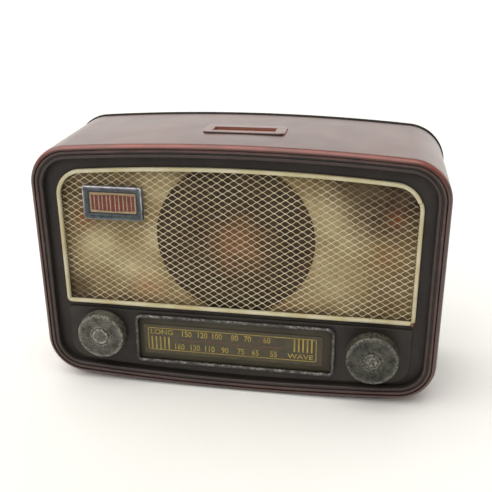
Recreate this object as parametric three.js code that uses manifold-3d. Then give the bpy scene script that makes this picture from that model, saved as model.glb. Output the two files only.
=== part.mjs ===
// A sheet-metal money box in the form of a bakelite table radio.
// Millimetres, +Z up, the front faces -Y and +X is to the right of someone looking at the front.
// Depths are measured from the front of the cabinet's rim, and the whole is centred at the end.
import * as THREE from "three";
import { mergeVertices } from "three/addons/utils/BufferGeometryUtils.js";
import Module from "manifold-3d";

const wasm = await Module();
wasm.setup();

// ---- Driving dimensions -------------------------------------------------------------------------

const FLOOR_GAP = 1.2; // lowest point of the bowed cabinet above the floor
const CLEARANCE = 0.3; // gap between neighbouring pieces
const ARC_STEPS = 8; // straight steps in each arc of a large outline
const SMALL_STEPS = 4; // straight steps in each arc of a small outline
const HOLE_STEPS = 8; // a round hole in a plate has twice this many sides
const ROUND_SIDES = 16; // sides of a small turned piece
const FLATTEST_BOW = 0.02; // an edge with no bow still has this much, so that one formula serves
const BREAK = 0.5; // how far a sharp edge is taken off

const CABINET = {
  halfWidth: 120,
  bottom: FLOOR_GAP,
  top: FLOOR_GAP + 157,
  topBow: 5.7,
  bottomBow: 5.4,
  topRadius: 23.6,
  bottomRadius: 22.9,
};
const SHEET = 1.5; // thickness of the cabinet sheet
const SHELL_REAR = 74.9;
const LIP_RADIUS = 3.4; // bend that turns the sleeve in at the front

const RIM = { outer: 3.7, inner: 8.7, rear: 4.3, beadRadius: 1.2 };
const FASCIA = { inset: SHEET + CLEARANCE, front: 4.6, thickness: 1 };

const GRILLE = {
  halfWidth: 105.9,
  bottom: FLOOR_GAP + 52.9,
  top: FLOOR_GAP + 142.4,
  topBow: 5.3,
  bottomBow: FLATTEST_BOW,
  topRadius: 16.6,
  bottomRadius: 3.1,
};
const TRIM = { width: 2.9, front: 2.2, rear: 4.3, shoulder: 3.2, jointHeight: 127.8, pinRadius: 1.2 };
const MESH = { front: 5.9, thickness: 0.8, margin: 2.6 };
const DISC = { radius: 47, height: FLOOR_GAP + 97.5, front: 7, thickness: 0.5, sides: 40 };
const BACKING = { front: 7.8, thickness: 1.2 };

const PANEL = {
  halfWidth: 105.5,
  bottom: FLOOR_GAP + 10.4,
  top: FLOOR_GAP + 49.6,
  topBow: FLATTEST_BOW,
  bottomBow: 4.2,
  topRadius: 1.2,
  bottomRadius: 12,
};
const PANEL_FRONT = 3.1;
const PANEL_THICKNESS = 1.2;

const DIAL = {
  halfWidth: 60.7,
  bottom: FLOOR_GAP + 15.2,
  top: FLOOR_GAP + 45.4,
  topBow: FLATTEST_BOW,
  bottomBow: FLATTEST_BOW,
  topRadius: 4.6,
  bottomRadius: 3.2,
};
const DIAL_WIRE_RADIUS = 1.25;
const DIAL_JOINT_X = 5.3; // where the two ends of the bent wire meet
const LABEL = { x: -2.1, z: FLOOR_GAP + 29.6, width: 111.4, height: 20.4, front: 3.4, thickness: 0.2 };
const DIAL_PLATE = { front: 3.9, thickness: 0.4 };

const BADGE = { x: -72, z: FLOOR_GAP + 118, width: 36, height: 21.3, sideBar: 3.8, endBar: 4, radius: 1.4 };
const BADGE_FRONT = 2.9;
const BADGE_REAR = MESH.front - CLEARANCE;
const BADGE_PLATE_FRONT = 4.1;

const KNOB = { x: 83.1, z: FLOOR_GAP + 33.5, radius: 15.2, faceRadius: 14.5, thickness: 7.2, sides: 32 };
const KNOB_FACES = { left: -6, right: -10 }; // the right knob stands further out on its pin
const PIN = { headRadius: 5.2, headHeight: 0.9, proud: 0.25, radius: 2.1, rear: 11.8 };
const BUSH = { flangeRadius: 5, flangeFront: 2, radius: 3.4, rear: 9.2 };
const CLIP = { radius: 4.6, front: 9.6, thickness: 0.8 };
const SPACER_RADIUS = 4.4;

const SLOT_BEZEL = { x: 2.8, y: 35, length: 48.4, width: 18.7, radius: 3.4, proud: 0.55, flange: 3 };
const SLOT = { x: 2.5, length: 37, front: 34, rear: 39.6, rampFront: 28.6, rampDrop: 1 };

const BACK = { front: 73.8, thickness: 1.2 };
const REAR_ROLL = { radius: 1.65, centre: 77.15, centreInset: 0.75, flangeInner: 6, flangeRear: 76.5 };
const DOOR = { halfWidth: 37, bottom: 19, top: 71, gap: 0.5, radius: 3 };
const HINGE = { x: -39.5, y: 77, pinRadius: 0.6, knuckleRadius: 1.6, leafWidth: 10, leafRear: 76.1 };
const HINGE_BOTTOM = 23;
const HINGE_PIN_END = 0.9; // height of the pin's head, and how far its other end stands out
const KNUCKLES = 5;
const KNUCKLE_PITCH = 8.8;
const LOCK = { x: 27, z: 45, radius: 4.2, flangeRadius: 6, flangeHeight: 1.4, sides: 20 };
const LOCK_PLUG = { radius: 2.6, endRadius: 1.5, endLength: 0.8, sunk: 0.1, slotWidth: 1, slotDepth: 1 };
const LOCK_NUT = { radius: 6.6, front: 71.9, thickness: 1.6 };
const LOCK_CAM = { front: 70.1, thickness: 1.4, halfWidth: 3, tongueLength: 16.5 };

const FLANGE = { thickness: 1.2, reach: 9.5, depth: 11, bottom: 32, top: 124 };
const BACK_SCREW = { x: 110.6, heights: [48, 108], front: 66.5, radius: 1.5 };
const BACK_SCREW_HEAD = { radius: 2.8, height: 1.3 };
const FOOT = { x: 88, depths: [12, 66], radius: 5.5, height: 3.4 };
const FOOT_SCREW = { radius: 1.3, headRadius: 2.9, headBottom: 0.5, headTop: 1.5, top: 9.5 };
const BACKING_CLIP = { x: 62, width: 8, foot: 4, finger: 4.5, thickness: 1 };

// ---- Outlines in the X-Z plane ------------------------------------------------------------------

// The six arcs of an oblong with rounded corners whose top and bottom edges bow outwards.
function outlineArcs({ halfWidth, bottom, top, topBow, bottomBow, topRadius, bottomRadius }) {
  const bowRadius = (bow) => (halfWidth ** 2 + bow ** 2) / (2 * bow);
  const cornerOffset = (bow, corner) => Math.sqrt((bowRadius(bow) - corner) ** 2 - (halfWidth - corner) ** 2);
  const topCentre = top - bowRadius(topBow);
  const topOffset = cornerOffset(topBow, topRadius);
  const topAngle = Math.atan2(topOffset, halfWidth - topRadius);
  const bottomCentre = bottom + bowRadius(bottomBow);
  const bottomOffset = cornerOffset(bottomBow, bottomRadius);
  const bottomAngle = Math.atan2(bottomOffset, halfWidth - bottomRadius);
  const topX = halfWidth - topRadius;
  const topZ = topCentre + topOffset;
  const bottomX = halfWidth - bottomRadius;
  const bottomZ = bottomCentre - bottomOffset;
  return [
    { x: topX, z: topZ, radius: topRadius, from: 0, to: topAngle },
    { x: 0, z: topCentre, radius: bowRadius(topBow), from: topAngle, to: Math.PI - topAngle },
    { x: -topX, z: topZ, radius: topRadius, from: Math.PI - topAngle, to: Math.PI, last: true },
    { x: -bottomX, z: bottomZ, radius: bottomRadius, from: Math.PI, to: Math.PI + bottomAngle },
    {
      x: 0,
      z: bottomCentre,
      radius: bowRadius(bottomBow),
      from: Math.PI + bottomAngle,
      to: 2 * Math.PI - bottomAngle,
    },
    {
      x: bottomX,
      z: bottomZ,
      radius: bottomRadius,
      from: 2 * Math.PI - bottomAngle,
      to: 2 * Math.PI,
      last: true,
    },
  ];
}

// The outline as points, drawn in by an inset. The same count for every inset, so that rings match.
function outlinePoints(outline, inset = 0, steps = ARC_STEPS) {
  const points = [];
  for (const { x, z, radius, from, to, last } of outlineArcs(outline)) {
    const reach = radius - inset;
    const count = last ? steps + 1 : steps;
    for (let i = 0; i < count; i++) {
      const angle = from + ((to - from) * i) / steps;
      points.push(new THREE.Vector2(x + reach * Math.cos(angle), z + reach * Math.sin(angle)));
    }
  }
  return points;
}

function roundHole(x, z, radius) {
  return new THREE.Path().absarc(x, z, radius, 0, 2 * Math.PI, true);
}

function oblongPoints(x, z, width, height, radius, steps = SMALL_STEPS) {
  const outline = {
    halfWidth: width / 2,
    bottom: -height / 2,
    top: height / 2,
    topBow: FLATTEST_BOW,
    bottomBow: FLATTEST_BOW,
    topRadius: radius,
    bottomRadius: radius,
  };
  return outlinePoints(outline, 0, steps).map((point) => point.add(new THREE.Vector2(x, z)));
}

// ---- Solids -------------------------------------------------------------------------------------

// A flat piece parallel to the front, from its outline in X-Z, its front depth and its thickness.
function plate(points, front, thickness, holes = []) {
  const shape = new THREE.Shape(points);
  shape.holes = holes.map((hole) => (Array.isArray(hole) ? new THREE.Path(hole) : hole));
  const geometry = new THREE.ExtrudeGeometry(shape, {
    depth: thickness,
    bevelEnabled: false,
    curveSegments: HOLE_STEPS,
  });
  return geometry.rotateX(Math.PI / 2).translate(0, front + thickness, 0);
}

// A flat piece parallel to the floor, from its outline in X-Y.
function slab(points, bottom, thickness, holes = []) {
  const shape = new THREE.Shape(points);
  shape.holes = holes.map((hole) => new THREE.Path(hole));
  const settings = { depth: thickness, bevelEnabled: false };
  return new THREE.ExtrudeGeometry(shape, settings).translate(0, 0, bottom);
}

function box([x0, y0, z0], [x1, y1, z1]) {
  const geometry = new THREE.BoxGeometry(x1 - x0, y1 - y0, z1 - z0);
  return geometry.translate((x0 + x1) / 2, (y0 + y1) / 2, (z0 + z1) / 2);
}

// A band that follows an outline. Each [inset, depth] point of the profile makes one ring of it.
function band(outline, profile, steps = ARC_STEPS) {
  const rings = profile.map(([inset, depth]) =>
    outlinePoints(outline, inset, steps).map((point) => [point.x, depth, point.y]),
  );
  const count = rings[0].length;
  const index = [];
  rings.forEach((ring, i) => {
    const here = i * count;
    const next = ((i + 1) % rings.length) * count;
    for (let j = 0; j < count; j++) {
      const k = (j + 1) % count;
      index.push(here + j, next + k, next + j, here + j, here + k, next + k);
    }
  });
  const geometry = new THREE.BufferGeometry();
  geometry.setAttribute("position", new THREE.Float32BufferAttribute(rings.flat(2), 3));
  geometry.setIndex(index);
  geometry.computeVertexNormals();
  return geometry;
}

// Points of an arc in a profile, angles in degrees.
function arc(x, y, radius, from, to, steps) {
  return Array.from({ length: steps + 1 }, (_, i) => {
    const angle = THREE.MathUtils.degToRad(from + ((to - from) * i) / steps);
    return [x + radius * Math.cos(angle), y + radius * Math.sin(angle)];
  });
}

// A turned piece whose axis runs front to back. The profile lists [radius, depth] points.
function turned(profile, x, z, sides = ROUND_SIDES) {
  const points = profile.map(([radius, depth]) => new THREE.Vector2(radius, depth));
  return new THREE.LatheGeometry(points, sides).translate(x, 0, z);
}

// A turned piece whose axis is upright. The profile lists [radius, height] points.
function turnedUpright(profile, x, y) {
  return turned(profile, 0, 0).rotateX(Math.PI / 2).translate(x, y, 0);
}

function rod(radius, front, rear, x, z, sides = ROUND_SIDES) {
  return turned([[0, front], [radius, front], [radius, rear], [0, rear]], x, z, sides);
}

function uprightRod(radius, bottom, top, x, y) {
  return turnedUpright([[0, bottom], [radius, bottom], [radius, top], [0, top]], x, y);
}

// A ring of rectangular section, its axis front to back.
function ring(inner, outer, front, rear, x, z) {
  return turned([[inner, front], [outer, front], [outer, rear], [inner, rear], [inner, front]], x, z);
}

// ---- Joining and cutting ------------------------------------------------------------------------

function solidOf(geometry) {
  const bare = geometry.clone();
  bare.deleteAttribute("normal");
  bare.deleteAttribute("uv");
  const merged = mergeVertices(bare, 1e-4);
  return new wasm.Manifold(
    new wasm.Mesh({
      numProp: 3,
      vertProperties: merged.attributes.position.array,
      triVerts: new Uint32Array(merged.index.array),
    }),
  );
}

function geometryOf(solid) {
  const mesh = solid.getMesh();
  const geometry = new THREE.BufferGeometry();
  geometry.setAttribute("position", new THREE.BufferAttribute(mesh.vertProperties, 3));
  geometry.setIndex(new THREE.BufferAttribute(mesh.triVerts, 1));
  geometry.computeVertexNormals();
  return geometry;
}

function cut(geometry, ...tools) {
  return geometryOf(tools.reduce((rest, tool) => rest.subtract(solidOf(tool)), solidOf(geometry)));
}

function join(geometry, ...others) {
  return geometryOf(others.reduce((sum, other) => sum.add(solidOf(other)), solidOf(geometry)));
}

function common(geometry, other) {
  return geometryOf(solidOf(geometry).intersect(solidOf(other)));
}

// ---- Materials ----------------------------------------------------------------------------------

const finish = (color, roughness, metalness) => () =>
  new THREE.MeshStandardMaterial({ color, roughness, metalness });

const redBrownLacquer = finish("#4a2522", 0.3, 0);
const darkLacquer = finish("#33302d", 0.4, 0);
const blackLacquer = finish("#23211f", 0.45, 0);
const creamPaint = finish("#c8be96", 0.5, 0);
const creamMesh = finish("#bea98f", 0.5, 0.2);
const speakerBrown = finish("#463c2d", 0.9, 0);
const backingPaint = finish("#a5966e", 0.9, 0);
const badgeSteel = finish("#3c4144", 0.35, 0.7);
const badgeCream = finish("#aa9678", 0.7, 0);
const dialOlive = finish("#3e3a32", 0.5, 0);
const dialPrint = finish("#968a3c", 0.6, 0);
const wornSilver = finish("#828080", 0.4, 0.8);
const pewter = finish("#6e6e64", 0.45, 0.8);
const zincPlate = finish("#9a9a98", 0.35, 0.9);
const brass = finish("#a08040", 0.35, 0.9);
const rubber = finish("#1c1b1a", 0.9, 0);

const group = new THREE.Group();

function add(name, geometry, material) {
  const mesh = new THREE.Mesh(geometry, material());
  mesh.name = name;
  group.add(mesh);
}

// ---- Cabinet ------------------------------------------------------------------------------------

// The sleeve: one wrapped sheet, turned in round a bend at the front, with its coin and foot holes.
function cabinetShell() {
  const sleeve = band(CABINET, [
    [0, SHELL_REAR],
    ...arc(LIP_RADIUS, LIP_RADIUS, LIP_RADIUS, 180, 270, 4),
    ...arc(LIP_RADIUS, LIP_RADIUS, LIP_RADIUS - SHEET, 270, 180, 2),
    [SHEET, SHELL_REAR],
  ]);
  const { x, y, length, width, radius } = SLOT_BEZEL;
  const around = 2 * CLEARANCE;
  const bezelHole = slab(
    oblongPoints(x, y, length + around, width + around, radius + CLEARANCE),
    CABINET.top - 3 * SHEET,
    6 * SHEET,
  );
  const footHoles = footPlaces().map((foot) =>
    uprightRod(FOOT_SCREW.radius + CLEARANCE, 0, 4 * SHEET + CABINET.bottomBow, foot.x, foot.y),
  );
  return cut(sleeve, bezelHole, ...footHoles);
}

// The pressed frame inside the lip of the sleeve: two round beads on one strip.
function frontRim() {
  const { outer, inner, rear, beadRadius } = RIM;
  const beadDepth = beadRadius + CLEARANCE;
  return band(CABINET, [
    [outer, rear],
    ...arc(outer + beadRadius, beadDepth, beadRadius, 180, 360, 4),
    ...arc(inner - beadRadius, beadDepth, beadRadius, 180, 360, 4),
    [inner, rear],
  ]);
}

// The rolled bead that closes the rear edge, with the flange that covers the back panel's edge.
function rearRim() {
  const { radius, centre, centreInset, flangeInner, flangeRear } = REAR_ROLL;
  const flangeFront = BACK.front + BACK.thickness + CLEARANCE;
  return band(CABINET, [
    [flangeInner, flangeFront],
    [flangeInner, flangeRear],
    ...arc(centreInset, centre, radius, 0, 270, 6),
  ]);
}

function fasciaPlate() {
  const shaftHoles = [-KNOB.x, KNOB.x].map((x) => roundHole(x, KNOB.z, BUSH.radius + CLEARANCE));
  const grilleHole = outlinePoints(GRILLE, TRIM.width / 2);
  const points = outlinePoints(CABINET, FASCIA.inset);
  return plate(points, FASCIA.front, FASCIA.thickness, [grilleHole, ...shaftHoles]);
}

// The raised pad under the grille that carries the dial and the knobs.
function lowerPanel() {
  const shaftHoles = [-KNOB.x, KNOB.x].map((x) => roundHole(x, KNOB.z, BUSH.radius + CLEARANCE));
  const dialHole = outlinePoints(DIAL, DIAL_WIRE_RADIUS, SMALL_STEPS);
  return plate(outlinePoints(PANEL), PANEL_FRONT, PANEL_THICKNESS, [dialHole, ...shaftHoles]);
}

// An angle strip against one side wall. Its inner leg lies along the plate that it holds.
function angleStrip(side, legFront, wallFront) {
  const wall = CABINET.halfWidth - SHEET - CLEARANCE;
  const inner = wall - FLANGE.reach;
  const leg = box(
    [side > 0 ? inner : -wall, legFront, FLANGE.bottom],
    [side > 0 ? wall : -inner, legFront + FLANGE.thickness, FLANGE.top],
  );
  const thin = wall - FLANGE.thickness;
  const along = box(
    [side > 0 ? thin : -wall, wallFront, FLANGE.bottom],
    [side > 0 ? wall : -thin, wallFront + FLANGE.depth, FLANGE.top],
  );
  return join(leg, along);
}

function addCabinet() {
  add("cabinet_shell", cabinetShell(), redBrownLacquer);
  add("front_rim", frontRim(), darkLacquer);
  add("rear_rim", rearRim(), blackLacquer);
  add("fascia_plate", fasciaPlate(), darkLacquer);
  add("lower_panel", lowerPanel(), darkLacquer);
  const fasciaRear = FASCIA.front + FASCIA.thickness + CLEARANCE;
  add("fascia_flange_left", angleStrip(-1, fasciaRear, fasciaRear), blackLacquer);
  add("fascia_flange_right", angleStrip(1, fasciaRear, fasciaRear), blackLacquer);
}

// ---- Coin slot ----------------------------------------------------------------------------------

// A bezel let into the top from inside: a proud oblong, a flange under the sheet, and the slot,
// whose front lip slopes down to guide a coin in.
function coinSlotBezel() {
  const { x, y, length, width, radius, proud, flange } = SLOT_BEZEL;
  const top = CABINET.top + proud;
  const flangeTop = CABINET.top - SHEET - 2.5 * CLEARANCE;
  const flangeBottom = flangeTop - SHEET;
  const plug = slab(oblongPoints(x, y, length, width, radius), flangeBottom, top - flangeBottom);
  const spread = 2 * flange;
  const skirt = slab(
    oblongPoints(x, y, length + spread, width + spread, radius + flange),
    flangeBottom,
    flangeTop - flangeBottom,
  );
  const left = SLOT.x - SLOT.length / 2;
  const right = SLOT.x + SLOT.length / 2;
  const opening = box([left, SLOT.front, flangeBottom - 1], [right, SLOT.rear, top + 1]);
  const middle = (SLOT.front + SLOT.rear) / 2;
  const ramp = new THREE.ExtrudeGeometry(
    new THREE.Shape([
      new THREE.Vector2(SLOT.rampFront, top),
      new THREE.Vector2(middle, top - SLOT.rampDrop),
      new THREE.Vector2(middle, top + 1),
      new THREE.Vector2(SLOT.rampFront, top + 1),
    ]),
    { depth: SLOT.length, bevelEnabled: false },
  );
  ramp.rotateX(Math.PI / 2).rotateZ(Math.PI / 2).translate(left, 0, 0);
  return cut(join(plug, skirt), opening, ramp);
}

// ---- Grille -------------------------------------------------------------------------------------

// The whole bent moulding round the grille, before its two joints are cut.
function trimLoop() {
  const { width, front, rear, shoulder } = TRIM;
  const face = arc(width / 2, shoulder, 1, 180, 360, 4).map(([inset, depth]) => [
    width / 2 + (inset - width / 2) * (width / 2),
    shoulder + (depth - shoulder) * (shoulder - front),
  ]);
  return band(GRILLE, [[0, rear], ...face, [width, rear]]);
}

// The moulding is two strips: a short upright on the right, and the rest in one bent length.
function trimStrips() {
  const { width, front, rear, jointHeight } = TRIM;
  const left = GRILLE.halfWidth - width - 1;
  const right = GRILLE.halfWidth + 1;
  const upper = jointHeight;
  const lower = GRILLE.bottom + width + CLEARANCE;
  const depths = [front - 1, rear + 1];
  const upright = box([left, depths[0], lower], [right, depths[1], upper]);
  const gapped = box(
    [left, depths[0], lower - CLEARANCE],
    [right, depths[1], upper + CLEARANCE],
  );
  const loop = trimLoop();
  return { hoop: cut(loop, gapped), upright: common(loop, upright) };
}

// The opening in the badge's frame, drawn in by an inset.
function badgeWindow(inset) {
  const { x, z, width, height, sideBar, endBar } = BADGE;
  const windowWidth = width - 2 * (sideBar + inset);
  const windowHeight = height - 2 * (endBar + inset);
  return oblongPoints(x, z, windowWidth, windowHeight, BREAK, 1);
}

function badgeFrame() {
  const { x, z, width, height, radius } = BADGE;
  const outer = oblongPoints(x, z, width, height, radius);
  return plate(outer, BADGE_FRONT, BADGE_REAR - BADGE_FRONT, [badgeWindow(0)]);
}

function badgePlate() {
  return plate(badgeWindow(CLEARANCE), BADGE_PLATE_FRONT, BADGE_REAR - BADGE_PLATE_FRONT);
}

// A clip behind the fascia: its foot stands beside the backing and its finger reaches over it.
function backingClip(x, edge, outward) {
  const { width, foot, finger, thickness } = BACKING_CLIP;
  const front = FASCIA.front + FASCIA.thickness + CLEARANCE;
  const over = BACKING.front + BACKING.thickness + CLEARANCE;
  const rear = over + thickness;
  const near = edge + outward * 2 * CLEARANCE;
  const far = near + outward * foot;
  const tip = edge - outward * finger;
  const span = (a, b) => [Math.min(a, b), Math.max(a, b)];
  const [footLow, footHigh] = span(near, far);
  const [tipLow, tipHigh] = span(tip, far);
  return join(
    box([x - width / 2, front, footLow], [x + width / 2, rear, footHigh]),
    box([x - width / 2, over, tipLow], [x + width / 2, rear, tipHigh]),
  );
}

// Height of the top edge of the mesh and backing at a distance x from the middle.
function backingTop(x) {
  const radius = (GRILLE.halfWidth ** 2 + GRILLE.topBow ** 2) / (2 * GRILLE.topBow);
  return GRILLE.top + MESH.margin - radius + Math.sqrt(radius ** 2 - x ** 2);
}

function addGrille() {
  const strips = trimStrips();
  add("grille_trim_hoop", strips.hoop, creamPaint);
  add("grille_trim_upright", strips.upright, creamPaint);
  const pinX = GRILLE.halfWidth - TRIM.width / 2;
  const pinZ = GRILLE.bottom + TRIM.width / 2;
  const pinHead = TRIM.front - CLEARANCE;
  const dome = arc(0, pinHead, TRIM.pinRadius, 270, 360, 4);
  add("grille_trim_pin", turned([...dome, [0, pinHead]], pinX, pinZ), brass);
  const points = outlinePoints(GRILLE, -MESH.margin);
  add("grille_mesh", plate(points, MESH.front, MESH.thickness), creamMesh);
  add("grille_backing", plate(points, BACKING.front, BACKING.thickness), backingPaint);
  const discRear = DISC.front + DISC.thickness;
  add("speaker_disc", rod(DISC.radius, DISC.front, discRear, 0, DISC.height, DISC.sides), speakerBrown);
  add("badge_frame", badgeFrame(), badgeSteel);
  add("badge_plate", badgePlate(), badgeCream);
  const { x, width } = BACKING_CLIP;
  const upperEdge = backingTop(x - width / 2);
  const lowerEdge = GRILLE.bottom - MESH.margin;
  add("backing_clip_top_left", backingClip(-x, upperEdge, 1), zincPlate);
  add("backing_clip_top_right", backingClip(x, upperEdge, 1), zincPlate);
  add("backing_clip_bottom_left", backingClip(-x, lowerEdge, -1), zincPlate);
  add("backing_clip_bottom_right", backingClip(x, lowerEdge, -1), zincPlate);
}

// ---- Dial ---------------------------------------------------------------------------------------

// A round wire bent to an oblong, open by a hair where its two ends meet under the dial.
function dialWire() {
  const radius = DIAL_WIRE_RADIUS;
  const centre = PANEL_FRONT - CLEARANCE - radius;
  const loop = band(DIAL, arc(radius, centre, radius, 0, 300, 5), SMALL_STEPS);
  const gap = box(
    [DIAL_JOINT_X, centre - 2 * radius, DIAL.bottom - radius],
    [DIAL_JOINT_X + CLEARANCE, centre + 2 * radius, DIAL.bottom + 3 * radius],
  );
  return cut(loop, gap);
}

function addDial() {
  const platePoints = outlinePoints(DIAL, DIAL_WIRE_RADIUS + CLEARANCE, SMALL_STEPS);
  add("dial_plate", plate(platePoints, DIAL_PLATE.front, DIAL_PLATE.thickness), dialOlive);
  const { x, z, width, height, front, thickness } = LABEL;
  add("dial_scale_label", plate(oblongPoints(x, z, width, height, 1), front, thickness), dialPrint);
  add("dial_wire_frame", dialWire(), wornSilver);
}

// ---- Knobs --------------------------------------------------------------------------------------

// One knob with the pin, spacer, bush and retaining clip that hold it to the panel.
function addKnob(side, x) {
  const face = KNOB_FACES[side];
  const bore = PIN.radius + CLEARANCE;
  const back = face + KNOB.thickness;
  const seat = face + PIN.headHeight - PIN.proud + CLEARANCE;
  const knob = turned(
    [
      [bore, back],
      [bore, seat],
      [PIN.headRadius + CLEARANCE, seat],
      [PIN.headRadius + CLEARANCE, face],
      [KNOB.faceRadius - BREAK, face],
      [KNOB.faceRadius, face + BREAK],
      [KNOB.radius, back - BREAK],
      [KNOB.radius - BREAK, back],
      [bore, back],
    ],
    x,
    KNOB.z,
    KNOB.sides,
  );
  const head = face - PIN.proud;
  const pin = turned(
    [
      [0, head],
      [PIN.headRadius - BREAK, head],
      [PIN.headRadius, head + BREAK],
      [PIN.headRadius, head + PIN.headHeight],
      [PIN.radius, head + PIN.headHeight],
      [PIN.radius, PIN.rear],
      [0, PIN.rear],
    ],
    x,
    KNOB.z,
  );
  const flangeRear = PANEL_FRONT - CLEARANCE;
  const bush = turned(
    [
      [bore, BUSH.flangeFront],
      [BUSH.flangeRadius, BUSH.flangeFront],
      [BUSH.flangeRadius, flangeRear],
      [BUSH.radius, flangeRear],
      [BUSH.radius, BUSH.rear],
      [bore, BUSH.rear],
      [bore, BUSH.flangeFront],
    ],
    x,
    KNOB.z,
  );
  const spacerFront = back + CLEARANCE;
  const spacerRear = BUSH.flangeFront - CLEARANCE;
  add(side + "_knob", knob, pewter);
  add(side + "_knob_pin", pin, pewter);
  add(side + "_knob_spacer", ring(bore, SPACER_RADIUS, spacerFront, spacerRear, x, KNOB.z), rubber);
  add(side + "_knob_bush", bush, brass);
  const clipRear = CLIP.front + CLIP.thickness;
  add(side + "_knob_clip", ring(bore, CLIP.radius, CLIP.front, clipRear, x, KNOB.z), zincPlate);
}

// ---- Back and coin door -------------------------------------------------------------------------

const doorHeight = DOOR.top - DOOR.bottom;
const doorMiddle = (DOOR.top + DOOR.bottom) / 2;

function backPanel() {
  const around = 2 * DOOR.gap;
  const doorway = oblongPoints(0, doorMiddle, 2 * DOOR.halfWidth + around, doorHeight + around, DOOR.radius);
  const screwHoles = screwPlaces().map((place) =>
    roundHole(place.x, place.z, BACK_SCREW.radius + CLEARANCE),
  );
  const points = outlinePoints(CABINET, SHEET + CLEARANCE);
  return plate(points, BACK.front, BACK.thickness, [doorway, ...screwHoles]);
}

function screwPlaces() {
  return [-1, 1].flatMap((side) =>
    BACK_SCREW.heights.map((z, i) => ({
      name: "back_screw_" + (i ? "top_" : "bottom_") + (side > 0 ? "right" : "left"),
      x: side * BACK_SCREW.x,
      z,
    })),
  );
}

function backFlange(side) {
  const legFront = BACK.front - CLEARANCE - FLANGE.thickness;
  const wallFront = BACK.front - CLEARANCE - FLANGE.depth;
  const holes = screwPlaces()
    .filter((place) => Math.sign(place.x) === side)
    .map(({ x, z }) => rod(BACK_SCREW.radius + CLEARANCE, legFront - 1, BACK.front, x, z));
  return cut(angleStrip(side, legFront, wallFront), ...holes);
}

// A pan-head screw that goes through the back panel into its flange.
function backScrew({ x, z }) {
  const head = BACK.front + BACK.thickness + CLEARANCE;
  const top = head + BACK_SCREW_HEAD.height;
  return turned(
    [
      [0, BACK_SCREW.front],
      [BACK_SCREW.radius, BACK_SCREW.front],
      [BACK_SCREW.radius, head],
      [BACK_SCREW_HEAD.radius, head],
      [BACK_SCREW_HEAD.radius, top - BREAK],
      [BACK_SCREW_HEAD.radius - BREAK, top],
      [0, top],
    ],
    x,
    z,
  );
}

// Knuckles of the hinge, counted from the bottom: even ones belong to the fixed leaf.
function knuckle(i) {
  const bottom = HINGE_BOTTOM + i * KNUCKLE_PITCH;
  const top = bottom + KNUCKLE_PITCH - DOOR.gap;
  const bore = HINGE.pinRadius + CLEARANCE;
  const barrel = turnedUpright(
    [
      [bore, bottom],
      [HINGE.knuckleRadius, bottom],
      [HINGE.knuckleRadius, top],
      [bore, top],
      [bore, bottom],
    ],
    HINGE.x,
    HINGE.y,
  );
  return { bottom, top, barrel };
}

// A knuckle with the strap that ties it to a leaf reaching to x, the bore kept clear of the strap.
function strappedKnuckle(i, x, front) {
  const { bottom, top, barrel } = knuckle(i);
  const [low, high] = [Math.min(x, HINGE.x), Math.max(x, HINGE.x)];
  const strap = box([low, front, bottom], [high, HINGE.leafRear, top]);
  const bore = uprightRod(HINGE.pinRadius + CLEARANCE, bottom - 1, top + 1, HINGE.x, HINGE.y);
  return cut(join(barrel, strap), bore);
}

const doorKnuckles = [1, 3];
const leafKnuckles = [0, 2, 4];

function coinDoor() {
  const rear = BACK.front + BACK.thickness;
  const lockHole = roundHole(LOCK.x, LOCK.z, LOCK.radius + CLEARANCE);
  const points = oblongPoints(0, doorMiddle, 2 * DOOR.halfWidth, doorHeight, DOOR.radius);
  const leaf = plate(points, BACK.front, BACK.thickness, [lockHole]);
  const strapEnd = HINGE.x + HINGE.leafWidth;
  const straps = doorKnuckles.map((i) => strappedKnuckle(i, strapEnd, rear + CLEARANCE));
  const welds = doorKnuckles.map((i) => {
    const { bottom, top } = knuckle(i);
    return box([DOOR.gap - DOOR.halfWidth, rear - CLEARANCE, bottom], [strapEnd, HINGE.leafRear, top]);
  });
  return join(leaf, ...straps, ...welds);
}

function hingeLeaf() {
  const front = BACK.front + BACK.thickness + CLEARANCE;
  const near = HINGE.x - HINGE.knuckleRadius - DOOR.gap;
  const far = HINGE.x - HINGE.leafWidth;
  const top = HINGE_BOTTOM + KNUCKLES * KNUCKLE_PITCH - DOOR.gap;
  const leaf = box([far, front, HINGE_BOTTOM], [near, HINGE.leafRear, top]);
  return join(leaf, ...leafKnuckles.map((i) => strappedKnuckle(i, near - 1, front)));
}

function hingePin() {
  const top = HINGE_BOTTOM + KNUCKLES * KNUCKLE_PITCH;
  return turnedUpright(
    [
      [0, HINGE_BOTTOM - HINGE_PIN_END],
      [HINGE.pinRadius, HINGE_BOTTOM - HINGE_PIN_END],
      [HINGE.pinRadius, top],
      [HINGE.knuckleRadius, top],
      [HINGE.knuckleRadius, top + HINGE_PIN_END],
      [0, top + HINGE_PIN_END],
    ],
    HINGE.x,
    HINGE.y,
  );
}

// The lock's fixed body: a flange outside the door and a tube through it.
function lockBody() {
  const doorRear = BACK.front + BACK.thickness + CLEARANCE;
  const face = doorRear + LOCK.flangeHeight;
  const bore = LOCK_PLUG.radius + CLEARANCE;
  return turned(
    [
      [bore, LOCK_NUT.front],
      [LOCK.radius, LOCK_NUT.front],
      [LOCK.radius, doorRear],
      [LOCK.flangeRadius, doorRear],
      [LOCK.flangeRadius, face - BREAK],
      [LOCK.flangeRadius - BREAK, face],
      [bore, face],
      [bore, LOCK_NUT.front],
    ],
    LOCK.x,
    LOCK.z,
    LOCK.sides,
  );
}

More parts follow.
